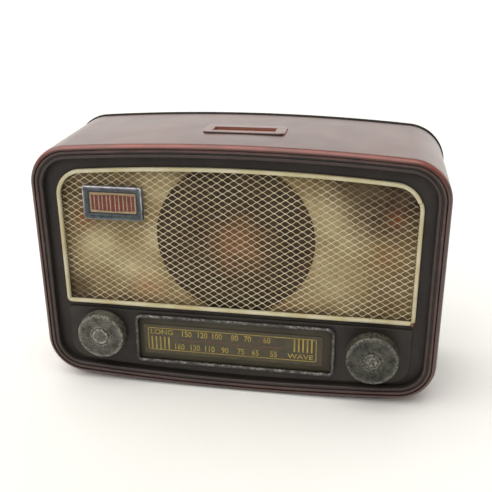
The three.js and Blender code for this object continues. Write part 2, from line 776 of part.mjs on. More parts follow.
// The turning plug, with a slot across its face for a screwdriver and a thin end for the cam.
function lockPlug() {
  const { radius, endRadius, endLength, sunk, slotWidth, slotDepth } = LOCK_PLUG;
  const face = BACK.front + BACK.thickness + CLEARANCE + LOCK.flangeHeight - sunk;
  const end = LOCK_CAM.front - endLength;
  const step = LOCK_CAM.front + LOCK_CAM.thickness + CLEARANCE;
  const plug = turned(
    [
      [0, end],
      [endRadius, end],
      [endRadius, step],
      [radius, step],
      [radius, face],
      [0, face],
    ],
    LOCK.x,
    LOCK.z,
    LOCK.sides,
  );
  const slot = box(
    [LOCK.x - slotWidth / 2, face - slotDepth, LOCK.z - 2 * radius],
    [LOCK.x + slotWidth / 2, face + slotDepth, LOCK.z + 2 * radius],
  );
  return cut(plug, slot);
}

// The tongue points up while the door is free, and turns sideways behind the back panel to lock it.
function lockCam() {
  const { front, thickness, halfWidth, tongueLength } = LOCK_CAM;
  const tip = LOCK.z + tongueLength;
  const shape = new THREE.Shape();
  shape.absarc(LOCK.x, LOCK.z, halfWidth, Math.PI, 2 * Math.PI, false);
  shape.absarc(LOCK.x, tip - halfWidth, halfWidth, 0, Math.PI, false);
  const bore = roundHole(LOCK.x, LOCK.z, LOCK_PLUG.endRadius + CLEARANCE);
  return plate(shape.getPoints(SMALL_STEPS), front, thickness, [bore]);
}

function lockNut() {
  const { radius, front, thickness } = LOCK_NUT;
  const corners = Array.from({ length: 6 }, (_, i) => {
    const angle = (i * Math.PI) / 3;
    return new THREE.Vector2(LOCK.x + radius * Math.cos(angle), LOCK.z + radius * Math.sin(angle));
  });
  return plate(corners, front, thickness, [roundHole(LOCK.x, LOCK.z, LOCK.radius + CLEARANCE)]);
}

function addBack() {
  add("back_panel", backPanel(), blackLacquer);
  add("back_flange_left", backFlange(-1), blackLacquer);
  add("back_flange_right", backFlange(1), blackLacquer);
  for (const place of screwPlaces()) add(place.name, backScrew(place), zincPlate);
  add("coin_door", coinDoor(), blackLacquer);
  add("door_hinge_leaf", hingeLeaf(), zincPlate);
  add("door_hinge_pin", hingePin(), zincPlate);
  add("door_lock_body", lockBody(), zincPlate);
  add("door_lock_plug", lockPlug(), brass);
  add("door_lock_nut", lockNut(), zincPlate);
  add("door_lock_cam", lockCam(), zincPlate);
}

// ---- Feet ---------------------------------------------------------------------------------------

function footPlaces() {
  return [-1, 1].flatMap((side) =>
    FOOT.depths.map((y, i) => ({
      name: (i ? "rear_" : "front_") + (side > 0 ? "right" : "left"),
      x: side * FOOT.x,
      y,
    })),
  );
}

function foot({ x, y }) {
  const bore = FOOT_SCREW.radius + CLEARANCE;
  const seat = FOOT_SCREW.headRadius + CLEARANCE;
  const shoulder = FOOT_SCREW.headTop + CLEARANCE;
  return turnedUpright(
    [
      [seat, 0],
      [FOOT.radius - BREAK, 0],
      [FOOT.radius, FOOT.height],
      [bore, FOOT.height],
      [bore, shoulder],
      [seat, shoulder],
      [seat, 0],
    ],
    x,
    y,
  );
}

function footScrew({ x, y }) {
  const { radius, headRadius, headBottom, headTop, top } = FOOT_SCREW;
  return turnedUpright(
    [
      [0, headBottom],
      [headRadius, headBottom],
      [headRadius, headTop],
      [radius, headTop],
      [radius, top],
      [0, top],
    ],
    x,
    y,
  );
}

function addFeet() {
  for (const place of footPlaces()) {
    add("foot_" + place.name, foot(place), rubber);
    add("foot_screw_" + place.name, footScrew(place), zincPlate);
  }
}

// ---- The whole ----------------------------------------------------------------------------------

addCabinet();
add("coin_slot_bezel", coinSlotBezel(), redBrownLacquer);
addGrille();
addDial();
addKnob("left", -KNOB.x);
addKnob("right", KNOB.x);
addBack();
addFeet();

const frontmost = Math.min(...Object.values(KNOB_FACES)) - PIN.proud;
const rearmost = REAR_ROLL.centre + REAR_ROLL.radius;
group.position.y = -(frontmost + rearmost) / 2;

export default group;
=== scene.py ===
"""Looks for a sheet-metal money box in the form of a table radio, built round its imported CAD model.

Shapes are written in millimetres as (x, depth, height): x to the right, depth from the front of the
cabinet's rim towards the back, and height above the floor. They become metres when a mesh is made.
"""

import math
import random

import bmesh
import bpy
from mathutils import Matrix, Vector, noise


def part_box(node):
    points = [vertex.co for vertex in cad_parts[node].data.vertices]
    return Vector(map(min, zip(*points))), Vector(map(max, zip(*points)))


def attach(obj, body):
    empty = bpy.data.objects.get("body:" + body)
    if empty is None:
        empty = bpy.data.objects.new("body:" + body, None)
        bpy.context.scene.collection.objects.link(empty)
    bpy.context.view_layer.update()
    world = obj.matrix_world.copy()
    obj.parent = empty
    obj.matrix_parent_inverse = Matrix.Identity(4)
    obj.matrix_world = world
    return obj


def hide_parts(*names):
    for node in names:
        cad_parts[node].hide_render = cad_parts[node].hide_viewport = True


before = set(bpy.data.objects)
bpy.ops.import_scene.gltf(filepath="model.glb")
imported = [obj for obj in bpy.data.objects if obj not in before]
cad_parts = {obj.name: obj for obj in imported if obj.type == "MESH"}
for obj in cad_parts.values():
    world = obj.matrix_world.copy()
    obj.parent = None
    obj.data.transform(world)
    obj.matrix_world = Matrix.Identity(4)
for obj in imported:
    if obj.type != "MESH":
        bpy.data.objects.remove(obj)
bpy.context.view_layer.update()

MM = 0.001
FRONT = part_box("cabinet_shell")[0].y  # the front of the cabinet's rim in the row frame
FLOOR_GAP = 1.2  # lowest point of the bowed cabinet above the floor
TURN = 2 * math.pi
CABINET_TOP = FLOOR_GAP + 157
BEZEL_TOP = CABINET_TOP - 0.05
BEZEL_EDGE = 27.4  # depth just behind the rounded front edge of the coin bezel



def placed(name, data):
    """A new object of the scene."""
    made = bpy.data.objects.new(name, data)
    bpy.context.scene.collection.objects.link(made)
    return made


# ---- Camera ----

CAMERA_PLACE = Vector((0.07723, -0.42755, 0.26057))
CAMERA_YAW, CAMERA_PITCH, CAMERA_ROLL = 0.1745, 0.3856, -0.0079
CAMERA_LENS = 54.88


def add_camera():
    """A camera turned left by the yaw, down by the pitch and about its own line by the roll."""
    forward = Vector(
        (
            -math.sin(CAMERA_YAW) * math.cos(CAMERA_PITCH),
            math.cos(CAMERA_YAW) * math.cos(CAMERA_PITCH),
            -math.sin(CAMERA_PITCH),
        )
    )
    level = Vector((math.cos(CAMERA_YAW), math.sin(CAMERA_YAW), 0))
    upright = level.cross(forward)
    right = level * math.cos(CAMERA_ROLL) + upright * math.sin(CAMERA_ROLL)
    up = right.cross(forward)
    turn = Matrix((right, up, -forward)).transposed().to_4x4()
    camera = placed("camera", bpy.data.cameras.new("camera"))
    camera.data.lens = CAMERA_LENS
    camera.data.sensor_width = 36
    camera.matrix_world = Matrix.Translation(CAMERA_PLACE) @ turn
    bpy.context.scene.camera = camera


# ---- Outlines: (x, height) points ----

FLATTEST_BOW = 0.02


def outline(shape, inset=0.0, steps=16):
    """Points round an oblong with rounded corners and bowed top and bottom edges, drawn in by an inset."""
    half, bottom, top, top_bow, bottom_bow, top_radius, bottom_radius = shape

    def half_of(edge, bow, corner, sign):
        bow_radius = (half**2 + bow**2) / (2 * bow)
        centre = edge - sign * bow_radius
        reach = math.sqrt((bow_radius - corner) ** 2 - (half - corner) ** 2)
        angle = math.atan2(reach, half - corner)
        return (half - corner, centre + sign * reach, corner, angle), (centre, bow_radius)

    (tx, tz, tr, ta), (tc, tb) = half_of(top, top_bow, top_radius, 1)
    (bx, bz, br, ba), (bc, bb) = half_of(bottom, bottom_bow, bottom_radius, -1)
    arcs = [
        (tx, tz, tr, 0, ta, False),
        (0, tc, tb, ta, math.pi - ta, False),
        (-tx, tz, tr, math.pi - ta, math.pi, True),
        (-bx, bz, br, math.pi, math.pi + ba, False),
        (0, bc, bb, math.pi + ba, TURN - ba, False),
        (bx, bz, br, TURN - ba, TURN, True),
    ]
    points = []
    for x, z, radius, start, end, last in arcs:
        for i in range(steps + last):
            angle = start + (end - start) * i / steps
            reach = radius - inset
            points.append((x + reach * math.cos(angle), z + reach * math.sin(angle)))
    return points


def oblong(x, z, width, height, radius, steps=6):
    """A rounded oblong centred on a point."""
    shape = (width / 2, -height / 2, height / 2, FLATTEST_BOW, FLATTEST_BOW, radius, radius)
    return [(x + a, z + b) for a, b in outline(shape, 0, steps)]


def circle(x, z, radius, sides=32):
    """A round hole's points."""
    return [
        (x + radius * math.cos(TURN * i / sides), z + radius * math.sin(TURN * i / sides))
        for i in range(sides)
    ]


def arc(x, y, radius, start, end, steps):
    """Profile points of an arc, its angles in degrees."""
    angles = [math.radians(start + (end - start) * i / steps) for i in range(steps + 1)]
    return [(x + radius * math.cos(a), y + radius * math.sin(a)) for a in angles]


# ---- Meshes ----


WELD = 1e-6  # metres between points that count as one


def turned_out(mesh, weld=None):
    """The mesh with its faces turned outwards, and points closer than weld merged."""
    work = bmesh.new()
    work.from_mesh(mesh)
    if weld:
        bmesh.ops.remove_doubles(work, verts=work.verts, dist=weld)
    bmesh.ops.recalc_face_normals(work, faces=work.faces)
    work.to_mesh(mesh)
    work.free()
    return mesh


def mesh_of(points, faces, marks=None):
    """A mesh from points in millimetres. Marks are per-point numbers that materials read."""
    mesh = bpy.data.meshes.new("piece")
    mesh.from_pydata([(x * MM, y * MM + FRONT, z * MM) for x, y, z in points], [], faces)
    for name, values in (marks or {}).items():
        mesh.attributes.new(name, "FLOAT", "POINT").data.foreach_set("value", values)
    return turned_out(mesh)


def loft(count, rings, closed):
    """Faces between neighbouring rings of count points. If closed, the last ring joins the first."""
    faces = []
    for i in range(rings if closed else rings - 1):
        here, there = i * count, (i + 1) % rings * count
        for j in range(count):
            k = (j + 1) % count
            faces.append((here + j, here + k, there + k, there + j))
    return faces


def evaluated(mesh_or_curve, *modifiers):
    """The mesh that modifiers make of a mesh or a curve. Each modifier is (kind, settings)."""
    maker = placed("maker", mesh_or_curve)
    for kind, settings in modifiers:
        modifier = maker.modifiers.new(kind, kind)
        for key, value in settings.items():
            setattr(modifier, key, value)
    graph = bpy.context.evaluated_depsgraph_get()
    made = bpy.data.meshes.new_from_object(
        maker.evaluated_get(graph), preserve_all_data_layers=True, depsgraph=graph
    )
    bpy.data.objects.remove(maker)
    return made


def welded(mesh):
    """The mesh with its coinciding points merged and its faces turned outwards."""
    return turned_out(mesh, WELD)


def band(shape, profile, steps=20):
    """A closed band along an outline from (inset, depth, mark) profile points, the mark standing for wear and
    painted highlight.

    The outline is a shape, or a function that gives the shape at a depth.
    """
    section = shape if callable(shape) else lambda depth: shape
    rings = [[(x, depth, z) for x, z in outline(section(depth), inset, steps)] for inset, depth, _ in profile]
    count = len(rings[0])
    points = [point for ring in rings for point in ring]
    wear_and_highlight = [mark for _, _, mark in profile for _ in range(count)]
    return mesh_of(points, loft(count, len(rings), True), {"wear_and_highlight": wear_and_highlight})


def flat_curve(loops, thickness, edge, rounds):
    """A filled plane curve with rounded edges, centred on its plane."""
    curve = bpy.data.curves.new("plate", "CURVE")
    curve.dimensions = "2D"
    curve.fill_mode = "BOTH"
    curve.extrude = (thickness / 2 - edge) * MM
    curve.bevel_depth = edge * MM
    curve.bevel_resolution = rounds
    curve.offset = -edge * MM
    for loop in loops:
        spline = curve.splines.new("POLY")
        spline.points.add(len(loop) - 1)
        for point, (x, z) in zip(spline.points, loop):
            point.co = (x * MM, z * MM, 0, 1)
        spline.use_cyclic_u = True
    return curve


def plate(loops, front, thickness, edge=0.2, rounds=2):
    """A plate parallel to the front: its outline, then its holes, with rounded edges."""
    mesh = welded(evaluated(flat_curve(loops, thickness, edge, rounds)))
    middle = FRONT + (front + thickness / 2) * MM
    mesh.transform(Matrix.Translation((0, middle, 0)) @ Matrix.Rotation(math.pi / 2, 4, "X"))
    return mesh


def slab(loops, bottom, thickness, edge=0.2, rounds=2):
    """A plate parallel to the floor, its loops in (x, depth)."""
    mesh = welded(evaluated(flat_curve(loops, thickness, edge, rounds)))
    mesh.transform(Matrix.Translation((0, FRONT, (bottom + thickness / 2) * MM)))
    return mesh


def box(low, high):
    """A plain cutter or block between two corners."""
    corners = [(x, y, z) for x in (low[0], high[0]) for y in (low[1], high[1]) for z in (low[2], high[2])]
    faces = [(0, 1, 3, 2), (4, 6, 7, 5), (0, 4, 5, 1), (2, 3, 7, 6), (0, 2, 6, 4), (1, 5, 7, 3)]
    return mesh_of(corners, faces)


def turned(profile, x, across, sides=64, shape=None, marks=None, standing=False):
    """A turned piece from (radius, distance) points, its axis front to back or standing.

    A shape function may move each (ring, angle, radius, distance).
    """
    points, wear_and_highlight = [], []
    for i, (radius, distance) in enumerate(profile):
        for j in range(sides):
            angle = TURN * j / sides
            r, d = shape(i, angle, radius, distance) if shape else (radius, distance)
            right, up = x + r * math.cos(angle), across + r * math.sin(angle)
            points.append((right, up, d) if standing else (right, d, up))
            wear_and_highlight.append(marks[i] if marks else 0.0)
    closed = profile[0] == profile[-1]
    rings = len(profile) - closed
    used = rings * sides
    return welded(mesh_of(points[:used], loft(sides, rings, closed), {"wear_and_highlight": wear_and_highlight[:used]}))


def cut(mesh, *tools, operation="DIFFERENCE"):
    """The mesh with tools cut away, joined on or kept in common."""
    for tool in tools:
        other = placed("tool", tool)
        settings = {"operation": operation, "solver": "EXACT", "object": other}
        mesh = evaluated(mesh, ("BOOLEAN", settings))
        bpy.data.objects.remove(other)
    return mesh


def softened(mesh, width, segments=2):
    """The mesh with its sharp edges rounded."""
    settings = {
        "width": width * MM,
        "segments": segments,
        "limit_method": "ANGLE",
        "angle_limit": math.radians(40),
    }
    return evaluated(mesh, ("BEVEL", settings))


def joined(*meshes):
    """One mesh of several, kept as they are."""
    work = bmesh.new()
    for mesh in meshes:
        work.from_mesh(mesh)
    made = bpy.data.meshes.new("piece")
    work.to_mesh(made)
    work.free()
    return made


def give_material(mesh, material):
    mesh.materials.clear()
    mesh.materials.append(material)


def add(name, mesh, material, *nodes, body="root", slot=None, angle=35):
    """Puts a mesh in the scene as a named piece that rides on a body and stands for CAD nodes."""
    give_material(mesh, material)
    mesh.shade_smooth()
    mesh.set_sharp_from_angle(angle=math.radians(angle))
    made = placed(name, mesh)
    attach(made, body)
    if nodes:
        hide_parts(*nodes)
    return made


# ---- Materials ----


def rgb(red, green, blue):
    """A colour from 0 to 255 as Blender's linear one."""
    return tuple(
        c / 12.92 if c <= 0.04045 else ((c + 0.055) / 1.055) ** 2.4
        for c in (red / 255, green / 255, blue / 255)
    ) + (1.0,)


def shader_node(tree, kind, inputs=None, **settings):
    """A node whose inputs are linked to a socket or set to a value."""
    made = tree.nodes.new(kind)
    for key, value in settings.items():
        setattr(made, key, value)
    for key, value in (inputs or {}).items():
        if isinstance(value, bpy.types.NodeSocket):
            tree.links.new(value, made.inputs[key])
        else:
            made.inputs[key].default_value = value
    return made


def smooth_step(tree, value, low, high, start, end):
    """The value brought smoothly from the range low to high into start to end."""
    inputs = {"Value": value, "From Min": low, "From Max": high, "To Min": start, "To Max": end}
    made = shader_node(tree, "ShaderNodeMapRange", inputs, interpolation_type="SMOOTHSTEP")
    return made.outputs["Result"]


class Paint:
    """One material. Patterns are placed in millimetres in the row frame."""

    def __init__(self, name, **uniform):
        self.material = bpy.data.materials.new(name)
        self.material.use_nodes = True
        self.tree = self.material.node_tree
        self.shader = self.tree.nodes["Principled BSDF"]
        for socket, value in uniform.items():
            self.shader.inputs[socket.replace("_", " ")].default_value = value
        here = self.node("ShaderNodeTexCoord").outputs["Object"]
        self.place = self.vector("MULTIPLY", here, (1 / MM, 1 / MM, 1 / MM))

    def node(self, kind, inputs=None, **settings):
        return shader_node(self.tree, kind, inputs, **settings)

    def vector(self, operation, a, b):
        return self.node("ShaderNodeVectorMath", {0: a, 1: b}, operation=operation).outputs[0]

    def math(self, operation, a, b=0.0):
        return self.node("ShaderNodeMath", {0: a, 1: b}, operation=operation).outputs[0]

    def times(self, a, b):
        return self.math("MULTIPLY", a, b)

    def noise(self, size, detail=3, stretch=(1, 1, 1), shift=0.0, place=None, roughness=0.5):
        """Noise whose features are about size millimetres, longer along each axis by its stretch."""
        scale = tuple(1 / (size * s) for s in stretch)
        where = self.vector("MULTIPLY", place or self.place, scale)
        where = self.vector("ADD", where, (shift, shift * 1.7, shift * 2.3))
        inputs = {"Vector": where, "Scale": 1.0, "Detail": detail, "Roughness": roughness}
        return self.node("ShaderNodeTexNoise", inputs).outputs["Fac"]

    def level(self, value, low, high, start=0.0, end=1.0):
        return smooth_step(self.tree, value, low, high, start, end)

    def height(self):
        return self.along("Z")

    def wear_and_highlight(self):
        return self.node("ShaderNodeAttribute", attribute_name="wear_and_highlight").outputs["Fac"]

    def mix(self, factor, a, b):
        made = self.node("ShaderNodeMix", {0: factor, 6: a, 7: b}, data_type="RGBA")
        return made.outputs[2]

    def near(self, x, z, radius, soft=0.5):
        """1 at a point of the front, falling to 0 at a radius."""
        away = self.vector("SUBTRACT", self.place, (x, 0, z))
        flat = self.vector("MULTIPLY", away, (1, 0, 1))
        length = self.node("ShaderNodeVectorMath", {0: flat}, operation="LENGTH").outputs["Value"]
        return self.level(length, radius * (1 - soft), radius, 1.0, 0.0)

    def bump(self, height, depth, strength=1.0, after=None):
        inputs = {"Height": height, "Distance": depth * MM, "Strength": strength}
        if after is not None:
            inputs["Normal"] = after
        return self.node("ShaderNodeBump", inputs).outputs["Normal"]

    def patchy(self, size, detail, first, second, low=0.35, high=0.65):
        """One colour passing into another in patches."""
        return self.mix(self.level(self.noise(size, detail), low, high), rgb(*first), rgb(*second))

    def clamp(self, value):
        return self.node("ShaderNodeClamp", {"Value": value}).outputs[0]

    def along(self, axis):
        return self.node("ShaderNodeSeparateXYZ", {0: self.place}).outputs[axis]

    def finish(self, base, patches, rough, grain, depth, strength):
        """Ends a paint: its colour, a roughness between two values, and a fine uneven surface."""
        roughness = self.level(self.noise(*patches), 0.3, 0.7, *rough)
        normal = self.bump(self.noise(*grain), depth, strength)
        return self.use(Base_Color=base, Roughness=roughness, Normal=normal)

    def use(self, **sockets):
        for socket, value in sockets.items():
            self.tree.links.new(value, self.shader.inputs[socket.replace("_", " ")])
        return self.material


def red_lacquer(name, slot_top=None):
    """Glossy red-brown lacquer. Its front bend is salmon at the top, partly rubbed paint and partly a painted
    highlight, and dark brown elsewhere.

    Where there is a slot, the bezel's front edge is darkened as painted shade, and the walls are worn lighter
    below their top.
    """
    p = Paint(name, Coat_Weight=0.5, Coat_Roughness=0.28, IOR=1.55)
    base = p.patchy(38, 4, (78, 38, 33), (92, 46, 38))
    speck = p.level(p.noise(1.1, 2, (1.6, 1, 1)), 0.7, 0.76)
    base = p.mix(p.times(speck, 0.35), base, rgb(58, 34, 31))
    mark = p.wear_and_highlight()
    high = p.level(p.height(), 136, 151)
    low = p.math("SUBTRACT", 1.0, high)
    front = p.clamp(p.times(mark, -1))
    rubbed_highlight = p.clamp(mark)
    dark_bend = p.times(p.level(rubbed_highlight, 0, 0.5), p.times(low, 0.92))
    front = p.math("MAXIMUM", front, dark_bend)
    base = p.mix(front, base, p.mix(p.noise(6, 4), rgb(46, 36, 32), rgb(60, 44, 39)))
    rubbed_highlight = p.times(rubbed_highlight, p.level(p.noise(16, 4), 0.3, 0.6, 0.6, 1.0))
    rubbed_highlight = p.times(rubbed_highlight, high)
    # Painted highlight, partly rubbed paint: the upward part of the top edge's bend is made salmon.
    salmon = p.mix(p.level(p.noise(30, 3, shift=4.0), 0.4, 0.6), rgb(160, 80, 64), rgb(142, 70, 61))
    base = p.mix(rubbed_highlight, base, salmon)
    if slot_top:
        depth = p.along("Y")
        edge = FRONT / MM + BEZEL_EDGE
        behind_edge = p.level(depth, edge, edge + 1)
        sunk = p.level(p.height(), slot_top - 0.45, slot_top - 0.03, 0.9, 0.0)
        inside_slot = p.times(sunk, behind_edge)
        # Painted shade: the bezel's front wall and rounded front edge are darkened.
        base = p.mix(p.level(depth, edge - 0.5, edge, 0.8, 0.0), base, rgb(30, 24, 22))
        base = p.mix(p.times(behind_edge, 0.4), base, rgb(128, 66, 54))
        base = p.mix(inside_slot, base, p.mix(p.noise(3, 4), rgb(150, 84, 70), rgb(178, 120, 104)))
    scratch = p.level(p.noise(1.2, 2, (14, 0.35, 1), 5.0), 0.72, 0.78)
    scratch = p.times(scratch, p.level(p.noise(30, 2, shift=3.0), 0.52, 0.62))
    base = p.mix(p.times(scratch, 0.5), base, rgb(150, 132, 120))
    rough = p.level(p.noise(16, 3), 0.3, 0.7, 0.31, 0.36)
    rough = p.math("ADD", rough, p.times(front, 0.25))
    orange_peel = p.bump(p.noise(2.2, 2), 0.03, 0.06)
    return p.use(Base_Color=base, Roughness=rough, Normal=p.bump(scratch, 0.04, 0.4, orange_peel))


def rim_lacquer():
    """Dark brown lacquer; the crest of the outer bead is mauve-brown, partly rubbed paint and partly a
    painted highlight.
    """
    p = Paint("rim_lacquer", Coat_Weight=0.15, Coat_Roughness=0.3, Specular_IOR_Level=0.4)
    # Painted highlight, partly rubbed paint: mauve-brown along the bead crests.
    crest = p.times(p.wear_and_highlight(), p.level(p.noise(14, 4), 0.3, 0.7, 0.45, 1.0))
    base = p.mix(p.noise(6, 4), rgb(38, 33, 31), rgb(50, 43, 39))
    base = p.mix(crest, base, rgb(92, 66, 62))
    bright = p.level(p.noise(1.6, 3, (3, 1, 3), 2.0), 0.66, 0.74)
    base = p.mix(p.times(p.times(bright, crest), 0.5), base, rgb(150, 140, 128))
    return p.finish(base, (3, 4), (0.42, 0.6), (1.4, 4), 0.06, 0.35)


def dark_lacquer(name, low, high, roughness=0.5):
    """Satin dark lacquer with faint clouds, fine grain and a little dust."""
    p = Paint(name, Specular_IOR_Level=0.25)
    base = p.patchy(24, 4, low, high, 0.3, 0.7)
    grain = p.noise(0.7, 3)
    base = p.mix(p.level(grain, 0.62, 0.8, 0.0, 0.22), base, rgb(92, 86, 78))
    base = p.mix(p.level(p.noise(1.3, 2, shift=9.0), 0.24, 0.34, 0.4, 0.0), base, rgb(24, 21, 20))
    return p.finish(base, (5, 4), (roughness - 0.08, roughness + 0.1), (1.1, 4), 0.05, 0.35)


def cream_paint():
    """Aged cream paint on the moulding, yellowed in patches, with rust in small spots."""
    p = Paint("cream_paint", Coat_Weight=0.15, Coat_Roughness=0.3)
    base = p.patchy(17, 4, (205, 198, 170), (190, 181, 141))
    amber = p.level(p.noise(12, 5, shift=4.0), 0.54, 0.7, 0.0, 0.45)
    base = p.mix(amber, base, rgb(186, 160, 108))
    rust = p.level(p.noise(2.6, 6, shift=7.0, roughness=0.65), 0.68, 0.73)
    base = p.mix(p.times(rust, 0.8), base, rgb(104, 62, 36))
    grime = p.level(p.noise(0.9, 3), 0.6, 0.75, 0.0, 0.3)
    base = p.mix(grime, base, rgb(140, 124, 84))
    return p.finish(base, (3, 4), (0.35, 0.6), (1.8, 5), 0.12, 0.4)


# (x, height, radius) of the stains that cover the strands as well as the board
STAINED_STRANDS = [(90, 130, 32), (70, 136, 20), (-100, 62, 18)]


def expanded_metal_paint():
    """Beige paint on the strands, thinner and darker in places."""
    p = Paint("expanded_metal_paint", Specular_IOR_Level=0.5)
    base = p.patchy(16, 4, (213, 201, 171), (194, 177, 144))
    stain = p.level(p.noise(28, 4, shift=6.0), 0.58, 0.72, 0.0, 0.4)
    base = p.mix(stain, base, rgb(170, 130, 92))
    bare = p.level(p.noise(1.4, 3), 0.66, 0.74, 0.0, 0.5)
    base = p.mix(bare, base, rgb(110, 92, 70))
    for x, z, radius in STAINED_STRANDS:
        base = p.mix(p.times(p.near(x, z, radius, 1.0), 0.9), base, rgb(92, 72, 54))
    return p.finish(base, (2, 3), (0.35, 0.6), (0.5, 2), 0.04, 0.3)


# (x, height, radius, strength) of the lighter clouds and of the stains airbrushed on the board
LIGHT_CLOUDS = [
    (-84, 90, 20, 0.9), (-62, 76, 22, 1.0), (-47, 96, 16, 0.8), (-44, 128, 20, 0.6), (-50, 66, 14, 0.3),
    (50, 122, 18, 0.8), (62, 108, 26, 0.6), (58, 74, 24, 0.6), (48, 88, 14, 0.5),
]
STAINS = [
    (-100, 118, 30, 0.75), (-100, 60, 24, 0.7), (-70, 56, 22, 0.5), (88, 128, 34, 1.0),
    (58, 136, 26, 0.8), (96, 128, 30, 1.0), (80, 116, 26, 0.8), (102, 108, 20, 0.5),
    (88, 60, 26, 0.6), (94, 84, 18, 0.45), (-80, 138, 30, 0.5), (-10, 138, 40, 0.4),
]
RUST_CLOUDS = [
    (-54, 64, 17, 0.6), (-92, 107, 11, 0.55), (88, 92, 16, 0.35), (92, 117, 9, 0.5), (30, 57, 14, 0.3),
]


def backing_paint():
    """Khaki paint on the board, airbrushed lighter in clouds and brown towards the edges."""
    p = Paint("backing_paint", Specular_IOR_Level=0.3)
    base = p.patchy(11, 5, (140, 122, 87), (156, 139, 100), 0.3, 0.7)

    def clouds(base, places, colour, size, shift):
        for i, (x, z, radius, strength) in enumerate(places):
            ragged = p.level(p.noise(size, 4, shift=shift + i), 0.3, 0.65, 0.5 * strength, strength)
            base = p.mix(p.times(p.near(x, z, radius, 1.0), ragged), base, rgb(*colour))
        return base

    base = clouds(base, LIGHT_CLOUDS, (214, 202, 160), 9, 0.0)
    base = clouds(base, STAINS, (72, 54, 42), 8, 20.0)
    base = clouds(base, RUST_CLOUDS, (158, 92, 50), 7, 50.0)
    grain = p.level(p.noise(1.6, 4, shift=31.0), 0.58, 0.72, 0.0, 0.4)
    base = p.mix(grain, base, rgb(92, 72, 50))
    return p.finish(base, (4, 4), (0.7, 0.95), (0.8, 4), 0.08, 0.4)


def speaker_paint():
    """Dark brown disc, painted lighter red-brown in its middle as a highlight."""
    p = Paint("speaker_paint", Specular_IOR_Level=0.3)
    base = p.patchy(8, 5, (55, 45, 34), (72, 60, 45), 0.3, 0.7)
    ragged = p.level(p.noise(9, 4, shift=3.0), 0.3, 0.6, 0.5, 1.0)
    # Painted highlight: a lighter red-brown patch in the middle of the disc.
    painted_highlight = p.times(p.near(2, 95, 26, 1.0), ragged)
    base = p.mix(painted_highlight, base, rgb(136, 96, 68))
    return p.finish(base, (3, 4), (0.7, 0.95), (0.7, 4), 0.08, 0.4)


def badge_steel():
    """Dark blued metal with a bright upper edge, partly wear and partly a painted highlight, and greenish
    grime below.
    """
    p = Paint("badge_steel", Metallic=0.5)
    base = p.patchy(5, 4, (46, 51, 58), (64, 69, 76))
    spots = p.level(p.noise(3, 4, shift=3.0), 0.45, 0.6)
    green = p.times(spots, p.level(p.height(), 106, 113, 0.8, 0.1))
    base = p.mix(green, base, rgb(96, 118, 102))
    # Painted highlight, partly wear: the frame's upper edge is made bright.
    bright = p.times(p.wear_and_highlight(), p.level(p.noise(2.5, 4, shift=8.0), 0.3, 0.55, 0.3, 1.0))
    base = p.mix(bright, base, rgb(214, 212, 222))
    return p.finish(base, (2, 4), (0.32, 0.5), (1.2, 4), 0.05, 0.35)


def printed(name, ink, faded, paper, hold=0.36):
    """Printing ink, worn through in specks to what is under it."""
    p = Paint(name, Specular_IOR_Level=0.4)
    base = p.patchy(5, 4, ink, faded)
    gone = p.level(p.noise(0.6, 3, shift=2.0), hold - 0.06, hold, 0.9, 0.0)
    base = p.mix(gone, base, rgb(*paper))
    return p.finish(base, (3, 4), (0.45, 0.7), (0.6, 3), 0.03, 0.4)


def cast_metal(name, dark, light, shine, grain=1.0, metallic=0.6):
    """Cast metal, dark in its pores and made bright where the mark is set: dry-brushed on what stands proud,
    and on the dial wire partly a painted highlight.
    """
    p = Paint(name, Metallic=metallic)
    fine = p.noise(0.55 * grain, 4, roughness=0.65)
    broad = p.noise(5.5 * grain, 4, shift=2.0)
    brushed = p.math("ADD", p.times(fine, 0.6), p.times(broad, 0.4))
    base = p.mix(p.level(brushed, 0.4, 0.62), rgb(*dark), rgb(*light))
    streak = p.level(p.noise(0.9, 4, (5, 1, 0.5), 6.0), 0.62, 0.74, 0.0, 0.4)
    base = p.mix(streak, base, rgb(*shine))
    # On the dial wire this mark is partly a painted highlight on its upper sides.
    crest = p.times(p.wear_and_highlight(), p.level(p.noise(1.6, 4, shift=4.0), 0.35, 0.6))
    base = p.mix(crest, base, rgb(*shine))
    rough = p.level(brushed, 0.35, 0.65, 0.62, 0.4)
    return p.use(Base_Color=base, Roughness=rough, Normal=p.bump(brushed, 0.12 * grain, 0.5))


def plated(name, low, high, metallic=0.9):
    """Plated steel or brass, a little stained."""
    p = Paint(name, Metallic=metallic)
    base = p.patchy(3, 5, low, high)
    stain = p.level(p.noise(1.5, 4, shift=5.0), 0.6, 0.75, 0.0, 0.5)
    base = p.mix(stain, base, rgb(60, 52, 44))
    return p.finish(base, (1.2, 4, (1, 1, 4)), (0.25, 0.5), (0.5, 3), 0.03, 0.4)


def rubber():
    """Black rubber, dusty and slightly grained."""
    p = Paint("rubber", Specular_IOR_Level=0.35)
    base = p.patchy(4, 4, (26, 25, 24), (40, 38, 36), 0.3, 0.7)
    base = p.mix(p.level(p.noise(0.7, 3), 0.6, 0.78, 0.0, 0.5), base, rgb(84, 80, 74))
    return p.finish(base, (2, 4), (0.7, 0.95), (0.5, 3), 0.05, 0.5)


